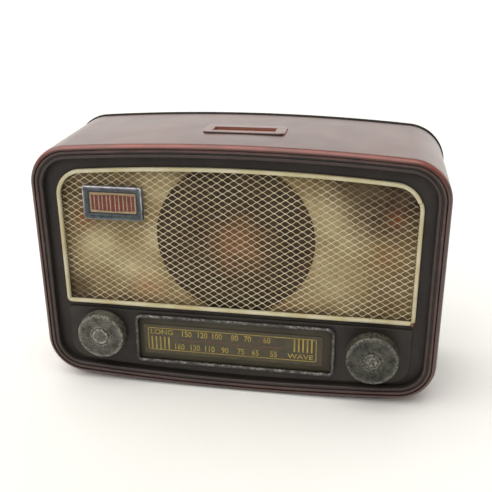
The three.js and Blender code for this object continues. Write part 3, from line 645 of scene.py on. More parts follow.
RED = red_lacquer("red_brown_lacquer")
BEZEL = red_lacquer("bezel_lacquer", BEZEL_TOP)
RIM = rim_lacquer()
FASCIA = dark_lacquer("fascia_lacquer", (44, 39, 37), (52, 46, 43))
PANEL = dark_lacquer("panel_lacquer", (46, 43, 41), (56, 51, 47))
BLACK = dark_lacquer("back_lacquer", (38, 35, 33), (48, 44, 41), 0.45)
ROLL = dark_lacquer("roll_lacquer", (30, 27, 24), (42, 37, 32), 0.62)
CREAM = cream_paint()
STRANDS = expanded_metal_paint()
BACKING = backing_paint()
SPEAKER = speaker_paint()
BADGE = badge_steel()
BADGE_CREAM = printed("badge_cream", (172, 152, 118), (152, 130, 98), (118, 94, 70), 0.32)
BADGE_RED = printed("badge_red", (112, 42, 46), (98, 48, 48), (150, 126, 96), 0.38)
DIAL = dark_lacquer("dial_lacquer", (62, 58, 48), (74, 69, 55), 0.55)
SCALE = printed("scale_ground", (72, 66, 52), (80, 73, 56), (56, 51, 42), 0.3)
GOLD = printed("scale_gold", (168, 150, 76), (142, 124, 64), (70, 64, 52), 0.36)
COPPER = printed("scale_copper", (112, 78, 60), (92, 70, 56), (66, 60, 50), 0.42)
WIRE = cast_metal("worn_and_highlit_wire", (48, 47, 46), (76, 74, 71), (176, 172, 166), 2.2, 0.3)
PEWTER = cast_metal("pewter", (52, 52, 47), (106, 105, 96), (176, 175, 164))
DARK_PEWTER = cast_metal("dark_pewter", (38, 38, 35), (80, 79, 72), (146, 144, 134))
ZINC = plated("zinc_plate", (142, 142, 140), (168, 168, 164))
BRASS = plated("brass", (150, 116, 58), (174, 140, 78))
PIN_RED = plated("reddened_brass", (120, 74, 58), (150, 104, 82), 0.5)
RUBBER = rubber()

# ---- Cabinet ----

# half width, bottom, top, top bow, bottom bow, top corner radius, bottom corner radius
FRONT_EDGE = (120.85, 0.4, 156.9, 5.8, 5.4, 24.2, 23.4)
REAR_EDGE = (119.75, FLOOR_GAP, FLOOR_GAP + 157, 5.7, 5.4, 23.6, 22.9)
GRILLE = (105.95, 53.1, 142.95, 5.3, FLATTEST_BOW, 16.6, 3.1)
PANEL_PAD = (105.5, 10.2, 50.1, FLATTEST_BOW, 4.2, 1.2, 12)
DIAL_FRAME = (61.9, 15.3, 48.3, FLATTEST_BOW, FLATTEST_BOW, 4.8, 3.4)
DIAL_X = -0.8

SHEET = 1.5
SHELL_REAR = 74.9
LIP_DEPTH, LIP_WIDTH = 3.4, 2.6
BEZEL_X, BEZEL_Y, BEZEL_LENGTH, BEZEL_WIDTH, BEZEL_RADIUS = 1.9, 36, 48.4, 18.7, 3.4
SLOT_LEFT, SLOT_RIGHT, SLOT_FRONT, SLOT_REAR = -16.9, 20.1, 35, 39.8
KNOB_X, KNOB_Z = 83.1, FLOOR_GAP + 33.5
BUSH_HOLE = 3.7
RAMP_FRONT = 29.6  # where the lip in front of the slot starts to slope down
COVER_INSET = 1.8  # how far the fascia and the back cover stay inside the sleeve's outline
FASCIA_FRONT, FASCIA_THICKNESS = 4.6, 1
PAD_FRONT, PAD_THICKNESS = 3.1, 1.2
DIAL_HOLE_INSET, DIAL_GROUND_INSET = 1.25, 1.55


def bezel_loop(spread):
    return oblong(BEZEL_X, BEZEL_Y, BEZEL_LENGTH + spread, BEZEL_WIDTH + spread, BEZEL_RADIUS + spread / 2)


def sleeve_section(depth):
    """The sleeve's outline at a depth: a little narrower and higher towards the back."""
    share = depth / SHELL_REAR
    return tuple(a + (b - a) * share for a, b in zip(FRONT_EDGE, REAR_EDGE))


def sleeve():
    """The wrapped sheet with its turned-in front lip, opened for the coin bezel."""
    # Marks round the lip's bend: the salmon part is rubbed paint and painted highlight, the negative end dark
    # brown.
    rubbed_highlight = [0, 0.05, 0.25, 0.6, 0.9, 1, 0.9, 0.6, 0.25, -0.2, -0.8]
    bend = arc(1, 1, 1, 180, 270, 10)
    outer = [(a * LIP_WIDTH, b * LIP_DEPTH, mark) for (a, b), mark in zip(bend, rubbed_highlight)]
    inside_bend = arc(LIP_WIDTH, LIP_DEPTH, 1, 270, 180, 4)
    wide, deep = LIP_WIDTH - SHEET, LIP_DEPTH - SHEET
    inner = [
        (LIP_WIDTH + (a - LIP_WIDTH) * wide, LIP_DEPTH + (b - LIP_DEPTH) * deep, -1)
        for a, b in inside_bend
    ]
    mesh = band(sleeve_section, [(0, SHELL_REAR, 0), *outer, *inner, (SHEET, SHELL_REAR, 0)], 28)
    return cut(mesh, slab([bezel_loop(0.6)], CABINET_TOP - 5, 10, 0.01, 0))


def coin_bezel():
    """The raised oblong let into the top, with the slot and the lip that slopes down into it."""
    top = BEZEL_TOP
    under = CABINET_TOP - 2 * SHEET - 0.75
    plug = slab([bezel_loop(0)], under, top - under, 0.4, 3)
    skirt = slab([bezel_loop(6)], under, SHEET, 0.2, 1)
    middle = (SLOT_FRONT + SLOT_REAR) / 2
    opening = box((SLOT_LEFT, SLOT_FRONT, under - 1), (SLOT_RIGHT, SLOT_REAR, top + 1))
    corners = [(RAMP_FRONT, top), (middle, top - 1), (middle, top + 1), (RAMP_FRONT, top + 1)]
    points = [(x, y, z) for x in (SLOT_LEFT, SLOT_RIGHT) for y, z in corners]
    sides = [(i, (i + 1) % 4, (i + 1) % 4 + 4, i + 4) for i in range(4)]
    ramp = mesh_of(points, [(3, 2, 1, 0), (4, 5, 6, 7), *sides])
    whole = cut(cut(plug, skirt, operation="UNION"), opening, ramp)
    return softened(whole, 0.12)


def front_rim():
    """The pressed frame inside the lip: two round beads with a flat groove between them."""
    outer, inner, rear, bead = 2.75, 7.8, 4.3, 1.1
    depth = bead + 0.3
    profile = [(outer, rear, 0)]
    # Each bead's crest gets the mark for rubbed paint and painted highlight, strongest on the outer bead.
    for centre, rubbed_highlight in ((outer + bead, 1), (inner - bead, 0.3)):
        for i, (inset, y) in enumerate(arc(centre, depth, bead, 180, 360, 12)):
            profile.append((inset, y, rubbed_highlight * math.sin(math.pi * i / 12) ** 1.5))
    return band(FRONT_EDGE, [*profile, (inner, rear, 0)], 28)


def rear_rim():
    """The rolled bead that closes the rear edge, and its flange over the back panel."""
    roll = arc(0.75, 77.15, 1.65, 0, 270, 16)
    profile = [(6, 75.3, 0), (6, 76.5, 0.2)]
    profile += [(inset, y, 0.3 + 0.5 * (0.2 < i / 16 < 0.8)) for i, (inset, y) in enumerate(roll)]
    return band(REAR_EDGE, profile, 28)


def dial_loop(inset):
    return [(x + DIAL_X, z) for x, z in outline(DIAL_FRAME, inset, 8)]


def add_cabinet():
    add("sleeve", sleeve(), RED, "cabinet_shell", slot="red_brown_lacquer")
    add("coin_bezel", coin_bezel(), BEZEL, "coin_slot_bezel", slot="red_brown_lacquer", angle=25)
    add("rim_beads", front_rim(), RIM, "front_rim", slot="dark_lacquer")
    add("rear_roll", rear_rim(), ROLL, "rear_rim", slot="black_lacquer")
    shafts = [circle(x, KNOB_Z, BUSH_HOLE) for x in (-KNOB_X, KNOB_X)]
    loops = [outline(FRONT_EDGE, COVER_INSET, 28), outline(GRILLE, TRIM_WIDTH / 2, 20), *shafts]
    fascia = plate(loops, FASCIA_FRONT, FASCIA_THICKNESS)
    add("fascia", fascia, FASCIA, "fascia_plate", slot="dark_lacquer")
    loops = [outline(PANEL_PAD, 0, 16), dial_loop(DIAL_HOLE_INSET), *shafts]
    pad = plate(loops, PAD_FRONT, PAD_THICKNESS, 0.5, 4)
    add("panel_pad", pad, PANEL, "lower_panel", slot="dark_lacquer")


# ---- Grille ----

TRIM_WIDTH, TRIM_FRONT, TRIM_REAR, TRIM_SHOULDER = 2.3, 2.2, 4.3, 3.1
TRIM_JOINT = 127.8
TRIM_PIN_RADIUS, TRIM_PIN_INSET = 1.1, 1.2
SPEAKER_Z, SPEAKER_RADIUS = FLOOR_GAP + 97.5, 47
BOARD_MARGIN = 2.6  # how far the backing board reaches past the grille on every side
DIAMOND_WIDTH, DIAMOND_HEIGHT = 6.6, 4.1
STRAND_WIDTH, STRAND_THICKNESS = 0.5, 0.44
STRAND_SIDES = 6
STRAND_TILT = math.radians(28)
KNUCKLE = 0.55  # half length of the flat where two strands meet
MESH_MIDDLE = 6.3


def trim_loop(spread=0.0):
    """The rounded cream moulding as one closed loop, moved out by the spread on both sides."""
    half = TRIM_WIDTH / 2
    profile = [(0, TRIM_REAR, 0)]
    for a, b in arc(0, 0, 1, 180, 360, 12):
        profile.append((half + a * half, TRIM_SHOULDER + b * (TRIM_SHOULDER - TRIM_FRONT), 0))
    return band((GRILLE[0] + spread, *GRILLE[1:]), [*profile, (TRIM_WIDTH, TRIM_REAR, 0)], 24)


def inside(point, loop):
    """Whether a point is inside a loop of points."""
    x, z = point
    odd = False
    for (ax, az), (bx, bz) in zip(loop, loop[1:] + loop[:1]):
        if (az > z) != (bz > z) and x < (bx - ax) * (z - az) / (bz - az) + ax:
            odd = not odd
    return odd


def strand_section(x, z):
    """Six points round a strand: a flat lens, its front turned up a little."""
    half, thick = STRAND_WIDTH / 2, STRAND_THICKNESS / 2
    flat = [(half, 0), (half * 0.5, thick), (-half * 0.5, thick)]
    flat += [(-half, 0), (-half * 0.5, -thick), (half * 0.5, -thick)]
    cos, sin = math.cos(STRAND_TILT), math.sin(STRAND_TILT)
    return [(x, MESH_MIDDLE + a * sin + b * cos, z + a * cos - b * sin) for a, b in flat]


def expanded_metal():
    """Zigzag strands, each bonded to its neighbours where their corners meet."""
    edge = outline(GRILLE, 0.4, 12)
    draw = random.Random(7)
    points, faces = [], []
    rows = range(int(GRILLE[1] / DIAMOND_HEIGHT * 2) - 1, int(GRILLE[2] / DIAMOND_HEIGHT * 2) + 2)
    reach = int(GRILLE[0] / DIAMOND_WIDTH * 2) + 1
    bond = STRAND_WIDTH * 0.36
    for row in rows:
        run = []
        for i in range(-reach, reach + 1):
            low = (i + row) % 2 == 0
            z = (row if low else row + 1) * DIAMOND_HEIGHT / 2 + (bond if low else -bond)
            z += draw.uniform(-0.07, 0.07)
            x = i * DIAMOND_WIDTH / 2 + draw.uniform(-0.1, 0.1)
            run += [(x - KNUCKLE, z), (x + KNUCKLE, z)]
        lengths = []
        for point in run:
            if inside(point, edge):
                lengths.append(point)
            else:
                add_strand(lengths, points, faces)
                lengths = []
        add_strand(lengths, points, faces)
    return mesh_of(points, faces)


def add_strand(run, points, faces):
    """One strand along a run of points, closed at both ends. A run of fewer than two gives none."""
    if len(run) < 2:
        return
    first = len(points)
    for x, z in run:
        points.extend(strand_section(x, z))
    faces.extend(tuple(first + corner for corner in face) for face in loft(STRAND_SIDES, len(run), False))
    last = first + STRAND_SIDES * (len(run) - 1)
    faces.append(tuple(range(first, first + STRAND_SIDES)))
    faces.append(tuple(reversed(range(last, last + STRAND_SIDES))))


def add_grille():
    low = GRILLE[1] + TRIM_WIDTH
    left, right = GRILLE[0] - TRIM_WIDTH - 1, GRILLE[0] + 1
    gap = box((left, 0, low), (right, 6, TRIM_JOINT + 0.3))
    strip = box((left, 0, low + 0.3), (right, 6, TRIM_JOINT))
    add("trim_hoop", cut(trim_loop(), gap), CREAM, "grille_trim_hoop", slot="cream_paint")
    upright_strip = cut(trim_loop(0.45), strip, operation="INTERSECT")
    add("trim_upright", upright_strip, CREAM, "grille_trim_upright", slot="cream_paint")
    head = TRIM_FRONT - 0.3
    profile = [*arc(0, head, TRIM_PIN_RADIUS, 271, 360, 8), (0, head)]
    dome = turned(profile, GRILLE[0] - TRIM_PIN_INSET, GRILLE[1] + TRIM_PIN_INSET, 24)
    add("trim_pin", dome, PIN_RED, "grille_trim_pin", slot="brass")
    add("expanded_metal", expanded_metal(), STRANDS, "grille_mesh", slot="cream_mesh", angle=50)
    disc = plate([circle(0, SPEAKER_Z, SPEAKER_RADIUS, 128)], 7, 0.5, 0.1, 1)
    add("speaker_cone_disc", disc, SPEAKER, "speaker_disc", slot="speaker_brown")
    board = plate([outline(GRILLE, -BOARD_MARGIN, 16)], 7.8, 1.2, 0.15, 1)
    add("backing_board", board, BACKING, "grille_backing", slot="backing_paint")


# ---- Badge ----

BADGE_X, BADGE_Z, BADGE_WIDTH, BADGE_HEIGHT = -72, FLOOR_GAP + 117.8, 36, 20.6
BADGE_SIDE, BADGE_END = 3.8, 4
# widths of the motif's upright bars from the middle outwards
MOTIF_BARS = [2.2, 1.5, 1.9, 1.5, 1.9, 1.5]
MOTIF_GAP = 0.75
MOTIF_HEIGHT = 10.2


def badge_frame():
    """A frame with rounded outer edges and a sloping inner side, its upper edge painted bright, partly wear
    and partly a painted highlight.
    """
    half, tall = BADGE_WIDTH / 2, BADGE_HEIGHT / 2
    outer = outline((half, -tall, tall, FLATTEST_BOW, FLATTEST_BOW, 1.4, 1.4), 0, 6)
    profile = [(0, 5.6, 0), (0, 3.4, 0.6), (0.15, 3.05, 1), (0.45, 2.9, 1), (0.8, 2.93, 0.2)]
    profile += [(2.2, 3.0, 0), (2.6, 3.15, 0.15), (3.2, 3.9, 0), (3.8, 4.1, 0), (3.8, 5.6, 0)]
    inner_half, inner_tall = half - BADGE_SIDE, tall - BADGE_END
    points, wear_and_highlight = [], []
    for inset, depth, mark in profile:
        share = inset / BADGE_SIDE
        for x, z in outer:
            across = max(-inner_half, min(inner_half, x))
            along = max(-inner_tall, min(inner_tall, z))
            points.append((BADGE_X + x + (across - x) * share, depth, BADGE_Z + z + (along - z) * share))
            # The mark is full along the upper edge only: a painted highlight there, partly wear.
            wear_and_highlight.append(mark * (1.0 if z > tall - 2 else 0.25))
    faces = loft(len(outer), len(profile), True)
    return welded(mesh_of(points, faces, {"wear_and_highlight": wear_and_highlight}))


def motif():
    """A generic fan of upright bars with flared ends, even about the middle."""
    bars = []
    x = 0.0
    for i, width in enumerate(MOTIF_BARS):
        centre = x + width / 2 if i else 0.0
        reach = MOTIF_HEIGHT / 2 - 0.12 * i
        x = centre + width / 2 + MOTIF_GAP
        for side in (-1, 1) if i else (1,):
            bars.append((BADGE_X + side * centre, width, reach))
    meshes = []
    for centre, width, reach in bars:
        half, flare = width / 2, width / 2 + (0.28 if width > 1 else 0.18)
        loop = [(flare, reach), (-flare, reach), (-half, reach - 0.9), (-half, 0.9 - reach)]
        loop += [(-flare, -reach), (flare, -reach), (half, 0.9 - reach), (half, reach - 0.9)]
        meshes.append(plate([[(centre + a, BADGE_Z + b) for a, b in loop]], 4.0, 0.14, 0.02, 0))
    return joined(*meshes)


def add_badge():
    add("badge_surround", badge_frame(), BADGE, "badge_frame", slot="badge_steel", angle=28)
    wide, tall = BADGE_WIDTH - 2 * BADGE_SIDE, BADGE_HEIGHT - 2 * BADGE_END
    window = oblong(BADGE_X, BADGE_Z, wide - 0.2, tall - 0.2, 0.4)
    add("badge_card", plate([window], 4.1, 1.4, 0.1, 1), BADGE_CREAM, "badge_plate", slot="badge_cream")
    add("badge_motif", motif(), BADGE_RED, slot="badge_cream")


# ---- Dial ----

WIRE_RADIUS = 1.1
WIRE_DEPTH = 1.55
WIRE_JOINT = 5.3
LABEL_X, LABEL_Z, LABEL_WIDTH, LABEL_HEIGHT = -2.1, FLOOR_GAP + 29.6, 111.4, 20.4
PRINT_FRONT, PRINT_THICKNESS = 3.36, 0.06
FIGURE_HEIGHT = 4.0
UPPER_FIGURES = {-30.3: "150", -20.3: "120", -11.2: "100", -0.3: "80", 7.8: "70", 19.7: "60"}
LOWER_FIGURES = {-35.1: "160", -25.2: "130", -15.9: "110", -6.4: "90", 3.6: "75", 12.5: "65", 23.8: "55"}
UPPER_LINE, LOWER_LINE = FLOOR_GAP + 34.6, FLOOR_GAP + 25.4


def dial_wire():
    """A hammered round wire bent to an oblong, its two ends meeting in the bottom edge."""
    loop = dial_loop(WIRE_RADIUS)
    low = min(z for _, z in loop)
    start = next(i for i, (x, z) in enumerate(loop) if x > WIRE_JOINT and z < low + 0.05)
    path = [(WIRE_JOINT + 0.15, low), *loop[start:], *loop[:start], (WIRE_JOINT - 0.15, low)]
    walked = []
    for a, b in zip(path, path[1:]):
        pieces = max(1, round(math.dist(a, b) / 0.8))
        step_x, step_z = b[0] - a[0], b[1] - a[1]
        walked += [(a[0] + step_x * i / pieces, a[1] + step_z * i / pieces) for i in range(pieces)]
    walked.append(path[-1])
    sides = 16
    points, wear_and_highlight = [], []
    for i, (x, z) in enumerate(walked):
        before, after = walked[max(0, i - 1)], walked[min(len(walked) - 1, i + 1)]
        run = Vector((after[0] - before[0], 0, after[1] - before[1])).normalized()
        out = Vector((run.z, 0, -run.x))
        end = max(0.0, 1 - (len(walked) - 1 - i) / 25)  # the last 20 mm lie a little higher
        for j in range(sides):
            angle = TURN * j / sides
            around = Vector((math.cos(angle), math.sin(angle), 0))
            dent = noise.noise(Vector((x * 0.3 + around.x * 0.5, z * 0.3, 3 + around.y * 0.5)))
            fine = noise.noise(Vector((x * 0.9, z * 0.9 + around.x, 9 + around.y)))
            radius = min(WIRE_RADIUS * (0.95 + 0.09 * dent + 0.04 * fine + 0.03 * end), WIRE_RADIUS * 1.06)
            away = out * (radius * around.x)
            depth = WIRE_DEPTH + radius * around.y * 0.95
            points.append((x + away.x, depth, z + away.z + 0.2 * end))
            # Painted highlight, partly wear: the mark grows on the wire's upward- and front-facing sides.
            upward = away.z / radius
            facing = max(0.0, 0.75 * upward - 0.35 * around.y)
            wear_and_highlight.append(max(0.0, min(1.0, facing * (0.35 + 1.1 * dent + 0.7 * fine))))
    faces = loft(sides, len(walked), False)
    last = (len(walked) - 1) * sides
    faces.append(tuple(range(sides)))
    faces.append(tuple(last + sides - 1 - j for j in range(sides)))
    return mesh_of(points, faces, {"wear_and_highlight": wear_and_highlight})


def lettering(text, x, z, height, width=None):
    """Flat text centred on a point, brought to a height and, if given, a width."""
    curve = bpy.data.curves.new("text", "FONT")
    curve.body = text
    curve.extrude = 0.5
    curve.resolution_u = 3
    curve.offset = 0.012
    mesh = welded(evaluated(curve))
    low = [min(v.co[k] for v in mesh.vertices) for k in range(3)]
    high = [max(v.co[k] for v in mesh.vertices) for k in range(3)]
    rise = height * MM / (high[1] - low[1])
    across = width * MM / (high[0] - low[0]) if width else rise * 0.84
    centre = [-(a + b) / 2 for a, b in zip(low, high)]
    grow = Matrix.Diagonal((across, rise, PRINT_THICKNESS * MM / (high[2] - low[2]), 1))
    place = Matrix.Translation((x * MM, FRONT + (PRINT_FRONT + PRINT_THICKNESS / 2) * MM, z * MM))
    mesh.transform(place @ Matrix.Rotation(math.pi / 2, 4, "X") @ grow @ Matrix.Translation(centre))
    return mesh


def line_frame(x0, z0, x1, z1, width, radius):
    """A thin rounded frame of print between two corners."""
    x, z = (x0 + x1) / 2, (z0 + z1) / 2
    outer = oblong(x, z, x1 - x0, z1 - z0, radius)
    inner = oblong(x, z, x1 - x0 - 2 * width, z1 - z0 - 2 * width, max(0.1, radius - width))
    return plate([outer, inner], PRINT_FRONT, PRINT_THICKNESS, 0.01, 0)


def bars(places, low, high, width):
    """Upright bars of print."""
    middle, tall, radius = (low + high) / 2, high - low, 0.3 * min(width, high - low)
    return [
        plate([oblong(x, middle, width, tall, radius, 2)], PRINT_FRONT, PRINT_THICKNESS, 0.01, 0)
        for x in places
    ]


def dial_print():
    """The gold figures, words, frame and bars of the scale."""
    meshes = [line_frame(-55.2, FLOOR_GAP + 22.2, 50, FLOOR_GAP + 37.7, 0.5, 1.4)]
    meshes += [lettering(text, x, UPPER_LINE, FIGURE_HEIGHT) for x, text in UPPER_FIGURES.items()]
    meshes += [lettering(text, x, LOWER_LINE, FIGURE_HEIGHT) for x, text in LOWER_FIGURES.items()]
    meshes.append(lettering("LONG", -46.2, UPPER_LINE + 0.3, 3.4, 14.2))
    meshes.append(lettering("WAVE", 40.2, LOWER_LINE - 0.2, 3.3, 15.6))
    meshes += bars([-52.7 + 2.68 * i for i in range(5)], FLOOR_GAP + 22.6, FLOOR_GAP + 31.6, 1.0)
    meshes += bars([36.6 + 2.62 * i for i in range(5)], FLOOR_GAP + 28.2, FLOOR_GAP + 37.3, 1.0)
    return joined(*meshes)


def add_dial():
    ground = plate([dial_loop(DIAL_GROUND_INSET)], 3.9, 0.4, 0.1, 1)
    add("dial_ground", ground, DIAL, "dial_plate", slot="dial_olive")
    label = plate([oblong(LABEL_X, LABEL_Z, LABEL_WIDTH, LABEL_HEIGHT, 1)], 3.42, 0.18, 0.05, 1)
    add("dial_scale", label, SCALE, "dial_scale_label", slot="dial_print")
    add("dial_figures", dial_print(), GOLD, slot="dial_print")
    middle = FLOOR_GAP + 30.1
    line = bars([0], middle - 0.4, middle + 0.4, 65)[0]
    line.transform(Matrix.Translation((-2.9 * MM, 0, 0)))
    add("dial_middle_line", line, COPPER, slot="dial_print")
    add("dial_wire", dial_wire(), WIRE, "dial_wire_frame", slot="worn_silver", angle=50)


# ---- Knobs ----

KNOB_RADIUS, KNOB_THICKNESS = 15.2, 7.2
RIGHT_KNOB_GROWTH = 1.045  # radius of the right knob over that of the left one
LEFT_KNOB_FACE, RIGHT_KNOB_FACE = -6.0, -10.0
PIN_HEAD, PIN_PROUD, PIN_RADIUS, PIN_REAR = 5.2, 0.25, 2.1, 11.8
# (radius, depth) round the bush that each pin turns in
BUSH_SECTION = [(2.4, 2), (4.8, 2), (5, 2.2), (5, 2.8), (3.4, 2.8), (3.4, 9.2), (2.4, 9.2), (2.4, 2)]
KNOB_SIDES = 144


def knob(face, x, seed, grow):
    """A cast disc, rough on its side, with a shallow well for the head of its pin."""
    back = face + KNOB_THICKNESS
    well = PIN_HEAD + 0.35
    bore = PIN_RADIUS + 0.3
    seat = face + 0.95
    front = [(well, seat), (well + 0.05, face + 0.15), (well + 0.5, face), (7.5, face + 0.05)]
    front += [(9, face + 0.1), (10.5, face + 0.1), (12, face + 0.05), (13.2, face), (13.9, face + 0.06)]
    edge = [(14.35, face + 0.3), (14.55, face + 0.8), (14.65, face + 1.5)]
    side = [(14.65 + 0.5 * i / 6, face + 1.5 + (KNOB_THICKNESS - 2.3) * i / 6) for i in range(1, 7)]
    profile = [(bore, seat), *front, *edge, *side]
    profile += [(14.9, back - 0.2), (14.4, back), (bore, back), (bore, seat)]
    marks = [0, 0.1, 0.5, 0.3] + [0.0] * 4 + [0.3, 0.5, 0.55, 0.4] + [0.35] * 7 + [0.2, 0, 0, 0, 0]

    def rough(i, angle, radius, depth):
        place = Vector((radius * math.cos(angle) * 0.35, depth * 0.5, radius * math.sin(angle) * 0.35 + seed))
        uneven = noise.noise(place)
        on_side = radius > 14.3 and face + 0.6 < depth < back - 0.1
        ridge = 0.16 * math.sin(angle * 48 + 2 * math.sin(depth * 1.3 + seed)) if on_side else 0.0
        on_face = well + 0.3 < radius < 14.2 and depth < face + 0.5
        around = min(KNOB_RADIUS, radius + ridge + 0.12 * uneven * (radius > 14))
        if radius > well + 0.6:
            around *= grow
        return around, depth + (0.1 * abs(uneven) if on_face else 0)

    return turned(profile, x, KNOB_Z, KNOB_SIDES, rough, marks[: len(profile)])


def pin_head(face, x, dimpled):
    """The headed pin: a ring-edged boss in the middle of the knob, the right one dished."""
    head = face - PIN_PROUD
    under = head + 0.9
    if dimpled:
        top = [(0, head + 0.5), (1.2, head + 0.45), (2.1, head + 0.2), (2.6, head + 0.05), (3.2, head + 0.1)]
        marks = [0.2, 0.5, 0.9, 0.9, 0.3]
    else:
        top = [(0, head + 0.3), (2.4, head + 0.28), (3.8, head + 0.25), (4.2, head + 0.1)]
        marks = [0.1, 0.1, 0.3, 0.9]
    rim = [(4.7, head), (5.0, head + 0.08), (PIN_HEAD, head + 0.35), (PIN_HEAD, under)]
    profile = [*top, *rim, (PIN_RADIUS, under), (PIN_RADIUS, PIN_REAR), (0, PIN_REAR)]
    marks += [0.65, 0.65, 0.5, 0.2, 0, 0, 0]
    return turned(profile, x, KNOB_Z, 48, None, marks)


def washer(inner, outer, front, rear, x, z):
    """A flat ring with softened edges."""
    edge = min(0.2, (rear - front) / 4)
    profile = [(inner, front), (outer - edge, front), (outer, front + edge), (outer, rear - edge)]
    return turned([*profile, (outer - edge, rear), (inner, rear), (inner, front)], x, z, 48)


def add_knobs():
    left = ("left", -KNOB_X, LEFT_KNOB_FACE, 2.0, 1.0, PEWTER)
    right = ("right", KNOB_X, RIGHT_KNOB_FACE, 11.0, RIGHT_KNOB_GROWTH, DARK_PEWTER)
    for side, x, face, seed, grow, metal in (left, right):
        body = side + "_knob_body"
        cap = knob(face, x, seed, grow)
        add(side + "_knob_cap", cap, metal, side + "_knob", body=body, slot="pewter", angle=50)
        boss = pin_head(face, x, side == "right")
        add(side + "_knob_boss", boss, metal, side + "_knob_pin", body=body, slot="pewter")
        spacer = washer(2.4, 4.4, face + KNOB_THICKNESS + 0.3, 1.7, x, KNOB_Z)
        add(side + "_knob_collar", spacer, RUBBER, side + "_knob_spacer", body=body, slot="rubber")
        bush = turned(BUSH_SECTION, x, KNOB_Z, 48)
        add(side + "_knob_bushing", bush, BRASS, side + "_knob_bush", slot="brass")


# ---- Back and coin door ----

BACK_FRONT, BACK_THICKNESS = 73.8, 1.2
BACK_REAR = BACK_FRONT + BACK_THICKNESS
BACK_SEAT = BACK_REAR + 0.3  # front of what lies on the back: screw heads, hinge and lock flange
DOOR_HALF, DOOR_BOTTOM, DOOR_TOP, DOOR_GAP, DOOR_RADIUS = 37, 19, 71, 0.5, 3
DOOR_MIDDLE = (DOOR_TOP + DOOR_BOTTOM) / 2
HINGE_X, HINGE_Y, HINGE_BOTTOM, KNUCKLE_PITCH = -39.5, 77, 23, 8.8
KNUCKLE_RADIUS, HINGE_BORE, LEAF_REAR = 1.6, 0.9, 76.1
LEAF_REACH = 10  # how far each leaf of the hinge reaches from its axis
LOCK_X, LOCK_Z, LOCK_HOLE = 27, 45, 4.5
SCREW_HOLE, SCREW_TIP = 1.8, 66.5
SCREWS = {(side, level): (110.6 * side, z) for side in (-1, 1) for level, z in (("bottom", 48), ("top", 108))}


def hinge_knuckle(i, x, front):
    """One knuckle, with the strap that reaches from it to x."""
    bottom = HINGE_BOTTOM + i * KNUCKLE_PITCH
    top = bottom + KNUCKLE_PITCH - DOOR_GAP
    profile = [(HINGE_BORE, bottom), (KNUCKLE_RADIUS - 0.1, bottom), (KNUCKLE_RADIUS, bottom + 0.1)]
    profile += [(KNUCKLE_RADIUS, top - 0.1), (KNUCKLE_RADIUS - 0.1, top), (HINGE_BORE, top)]
    profile.append((HINGE_BORE, bottom))
    barrel = turned(profile, HINGE_X, HINGE_Y, 32, standing=True)
    strap = box((min(x, HINGE_X), front, bottom), (max(x, HINGE_X), LEAF_REAR, top))
    bore = [(0, bottom - 1), (HINGE_BORE, bottom - 1), (HINGE_BORE, top + 1), (0, top + 1)]
    drill = turned(bore, HINGE_X, HINGE_Y, 32, standing=True)
    return cut(strap, drill), barrel


def cross_screw(x, z):
    """A pan-head screw with a crosswise recess."""
    head = BACK_SEAT
    dome = [(2.8, head), (2.8, head + 0.5), (2.65, head + 0.85)]
    dome += [(2.3, head + 1.1), (1.6, head + 1.25), (0, head + 1.3)]
    shank = [(0, SCREW_TIP), (1.5, SCREW_TIP), (1.5, head)]
    screw = turned([*shank, *dome], x, z, 40)
    slots = [
        box((x - 1.6, head + 0.5, z - 0.3), (x + 1.6, head + 2, z + 0.3)),
        box((x - 0.3, head + 0.5, z - 1.6), (x + 0.3, head + 2, z + 1.6)),
    ]
    return cut(screw, *slots)


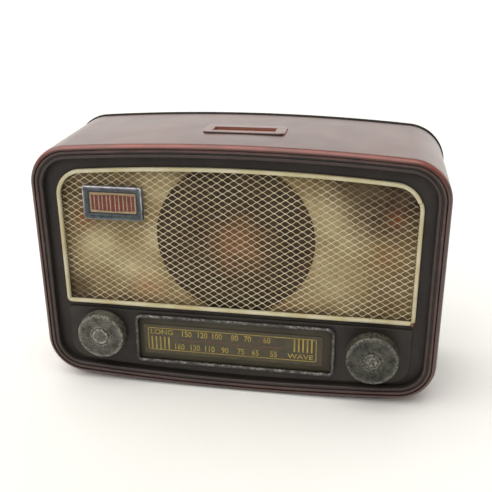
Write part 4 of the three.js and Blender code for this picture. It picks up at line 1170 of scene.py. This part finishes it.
def add_back():
    doorway = oblong(0, DOOR_MIDDLE, 2 * DOOR_HALF + 1, DOOR_TOP - DOOR_BOTTOM + 1, DOOR_RADIUS)
    holes = [circle(x, z, SCREW_HOLE, 24) for x, z in SCREWS.values()]
    cover = outline(REAR_EDGE, COVER_INSET, 28)
    back = plate([cover, doorway, *holes], BACK_FRONT, BACK_THICKNESS)
    add("back_cover", back, BLACK, "back_panel", slot="black_lacquer")
    for (side, level), (x, z) in SCREWS.items():
        name = level + ("_left" if side < 0 else "_right")
        add("cross_screw_" + name, cross_screw(x, z), ZINC, "back_screw_" + name, slot="zinc_plate")
    door_loop = oblong(0, DOOR_MIDDLE, 2 * DOOR_HALF, DOOR_TOP - DOOR_BOTTOM, DOOR_RADIUS)
    leaf = plate([door_loop, circle(LOCK_X, LOCK_Z, LOCK_HOLE)], BACK_FRONT, BACK_THICKNESS)
    door = [leaf]
    for i in (1, 3):
        door += hinge_knuckle(i, HINGE_X + LEAF_REACH, BACK_SEAT)
        low = HINGE_BOTTOM + i * KNUCKLE_PITCH
        bridge = (HINGE_X + LEAF_REACH, BACK_REAR + 0.4, low + KNUCKLE_PITCH - DOOR_GAP)
        door.append(box((DOOR_GAP - DOOR_HALF, BACK_REAR - 0.2, low), bridge))
    add("door_leaf", joined(*door), BLACK, "coin_door", body="coin_door_body", slot="black_lacquer")
    near = HINGE_X - KNUCKLE_RADIUS - DOOR_GAP
    hinge_top = HINGE_BOTTOM + 5 * KNUCKLE_PITCH - DOOR_GAP
    fixed = [box((HINGE_X - LEAF_REACH, BACK_SEAT, HINGE_BOTTOM), (near, LEAF_REAR, hinge_top))]
    for i in (0, 2, 4):
        fixed += hinge_knuckle(i, near - 1, BACK_SEAT)
    add("hinge_fixed_leaf", joined(*fixed), ZINC, "door_hinge_leaf", slot="zinc_plate")
    flange = BACK_SEAT
    ring = [(2.9, 71.9), (4.2, 71.9), (4.2, flange), (6, flange), (6, flange + 0.8), (5.8, flange + 1.15)]
    ring += [(5.4, flange + 1.35), (5, flange + 1.4), (3.2, flange + 1.4), (2.9, flange + 1.2), (2.9, 71.9)]
    lock = turned(ring, LOCK_X, LOCK_Z, 64)
    add("lock_flange", lock, ZINC, "door_lock_body", body="coin_door_body", slot="zinc_plate")
    face = flange + 1.3
    core = [(0, 69.3), (1.5, 69.3), (1.5, 71.8), (2.6, 71.8), (2.6, face - 0.15), (2.45, face), (0, face)]
    plug = turned(core, LOCK_X, LOCK_Z, 40)
    plug = cut(plug, box((LOCK_X - 0.5, face - 1, LOCK_Z - 5), (LOCK_X + 0.5, face + 1, LOCK_Z + 5)))
    add("lock_core", plug, BRASS, "door_lock_plug", body="door_lock_turning", slot="brass")


# ---- Feet ----

FOOT_X, FOOT_DEPTHS = 88, {"front": 12, "rear": 66}


def add_feet():
    profile = [(3.2, 0), (4.8, 0), (5.05, 0.25), (5.4, 2.7), (5.25, 3.1)]
    profile += [(1.6, 3.1), (1.6, 1.8), (3.2, 1.8), (3.2, 0)]
    for side, x in (("left", -FOOT_X), ("right", FOOT_X)):
        for end, depth in FOOT_DEPTHS.items():
            name = end + "_" + side
            foot = turned(profile, x, depth, 48, standing=True)
            add("rubber_foot_" + name, foot, RUBBER, "foot_" + name, slot="rubber")


# ---- CAD nodes that stay as they are ----

SIDES = ("left", "right")
BLACK_NODES = [f"{place}_flange_{side}" for place in ("fascia", "back") for side in SIDES]
ZINC_NODES = [f"backing_clip_{level}_{side}" for level in ("top", "bottom") for side in SIDES]
ZINC_NODES += [f"foot_screw_{end}_{side}" for end in ("front", "rear") for side in SIDES]
ZINC_NODES += [f"{side}_knob_clip" for side in SIDES]
ZINC_NODES += ["door_hinge_pin", "door_lock_nut", "door_lock_cam"]


def paint_kept_nodes():
    for names, material in ((BLACK_NODES, BLACK), (ZINC_NODES, ZINC)):
        for name in names:
            give_material(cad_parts[name].data, material)


# ---- Studio ----


def floor_material():
    p = Paint("floor", Specular_IOR_Level=0.2)
    base = p.mix(p.noise(60, 3), rgb(250, 250, 248), rgb(253, 253, 252))
    return p.use(Base_Color=base, Roughness=p.level(p.noise(20, 3), 0.3, 0.7, 0.6, 0.8))


# (direction of the middle, where it starts and where it is full as a cosine, strength)
OVERHEAD = ((-0.28, -0.3, 0.91), 0.62, 0.86, 2.5)
AROUND = 0.25
LIGHT_COLOUR = (0.81, 0.79, 0.755, 1.0)
FLOOR_REACH = 20  # metres each way
# strength of the bright wall behind the object, which fades out from 33 to 49 degrees above the floor
BACKDROP = 1.35


def studio_world():
    """White to look at; it lights with a soft overhead panel and a bright wall behind the object."""
    world = bpy.data.worlds.new("studio")
    world.use_nodes = True
    tree = world.node_tree

    def node(kind, inputs, **settings):
        return shader_node(tree, kind, inputs, **settings)

    def math_of(operation, a, b):
        return node("ShaderNodeMath", {0: a, 1: b}, operation=operation).outputs[0]

    where = node("ShaderNodeTexCoord", {}).outputs["Generated"]
    axes = node("ShaderNodeSeparateXYZ", {0: where})
    middle, low, high, strength = OVERHEAD
    cosine = node("ShaderNodeVectorMath", {0: where, 1: middle}, operation="DOT_PRODUCT").outputs["Value"]
    panel = smooth_step(tree, cosine, low, high, 0.0, strength)
    behind = smooth_step(tree, axes.outputs["Y"], 0.2, 0.5, 0.0, 1.0)
    wall = math_of("MULTIPLY", behind, smooth_step(tree, axes.outputs["Z"], 0.55, 0.75, 1.0, 0.0))
    light = math_of("ADD", math_of("MULTIPLY", wall, BACKDROP), math_of("ADD", panel, AROUND))
    seen = tree.nodes["Background"]
    seen.inputs["Strength"].default_value = 1.0
    seen.inputs["Color"].default_value = (1, 1, 1, 1)
    lights = node("ShaderNodeBackground", {"Strength": light, "Color": LIGHT_COLOUR})
    camera = node("ShaderNodeLightPath", {}).outputs["Is Camera Ray"]
    mixed = node("ShaderNodeMixShader", {0: camera, 1: lights.outputs[0], 2: seen.outputs[0]})
    tree.links.new(mixed.outputs[0], tree.nodes["World Output"].inputs["Surface"])
    bpy.context.scene.world = world


def add_studio():
    mesh = bpy.data.meshes.new("floor")
    corners = [(FLOOR_REACH * x, FLOOR_REACH * y, 0) for x, y in ((-1, -1), (1, -1), (1, 1), (-1, 1))]
    mesh.from_pydata(corners, [], [(0, 1, 2, 3)])
    mesh.materials.append(floor_material())
    ground = placed("floor", mesh)
    studio_world()
    bpy.context.scene.view_settings.view_transform = "Standard"


add_camera()
add_cabinet()
add_grille()
add_badge()
add_dial()
add_knobs()
add_back()
add_feet()
paint_kept_nodes()
add_studio()

bpy.context.view_layer.update()
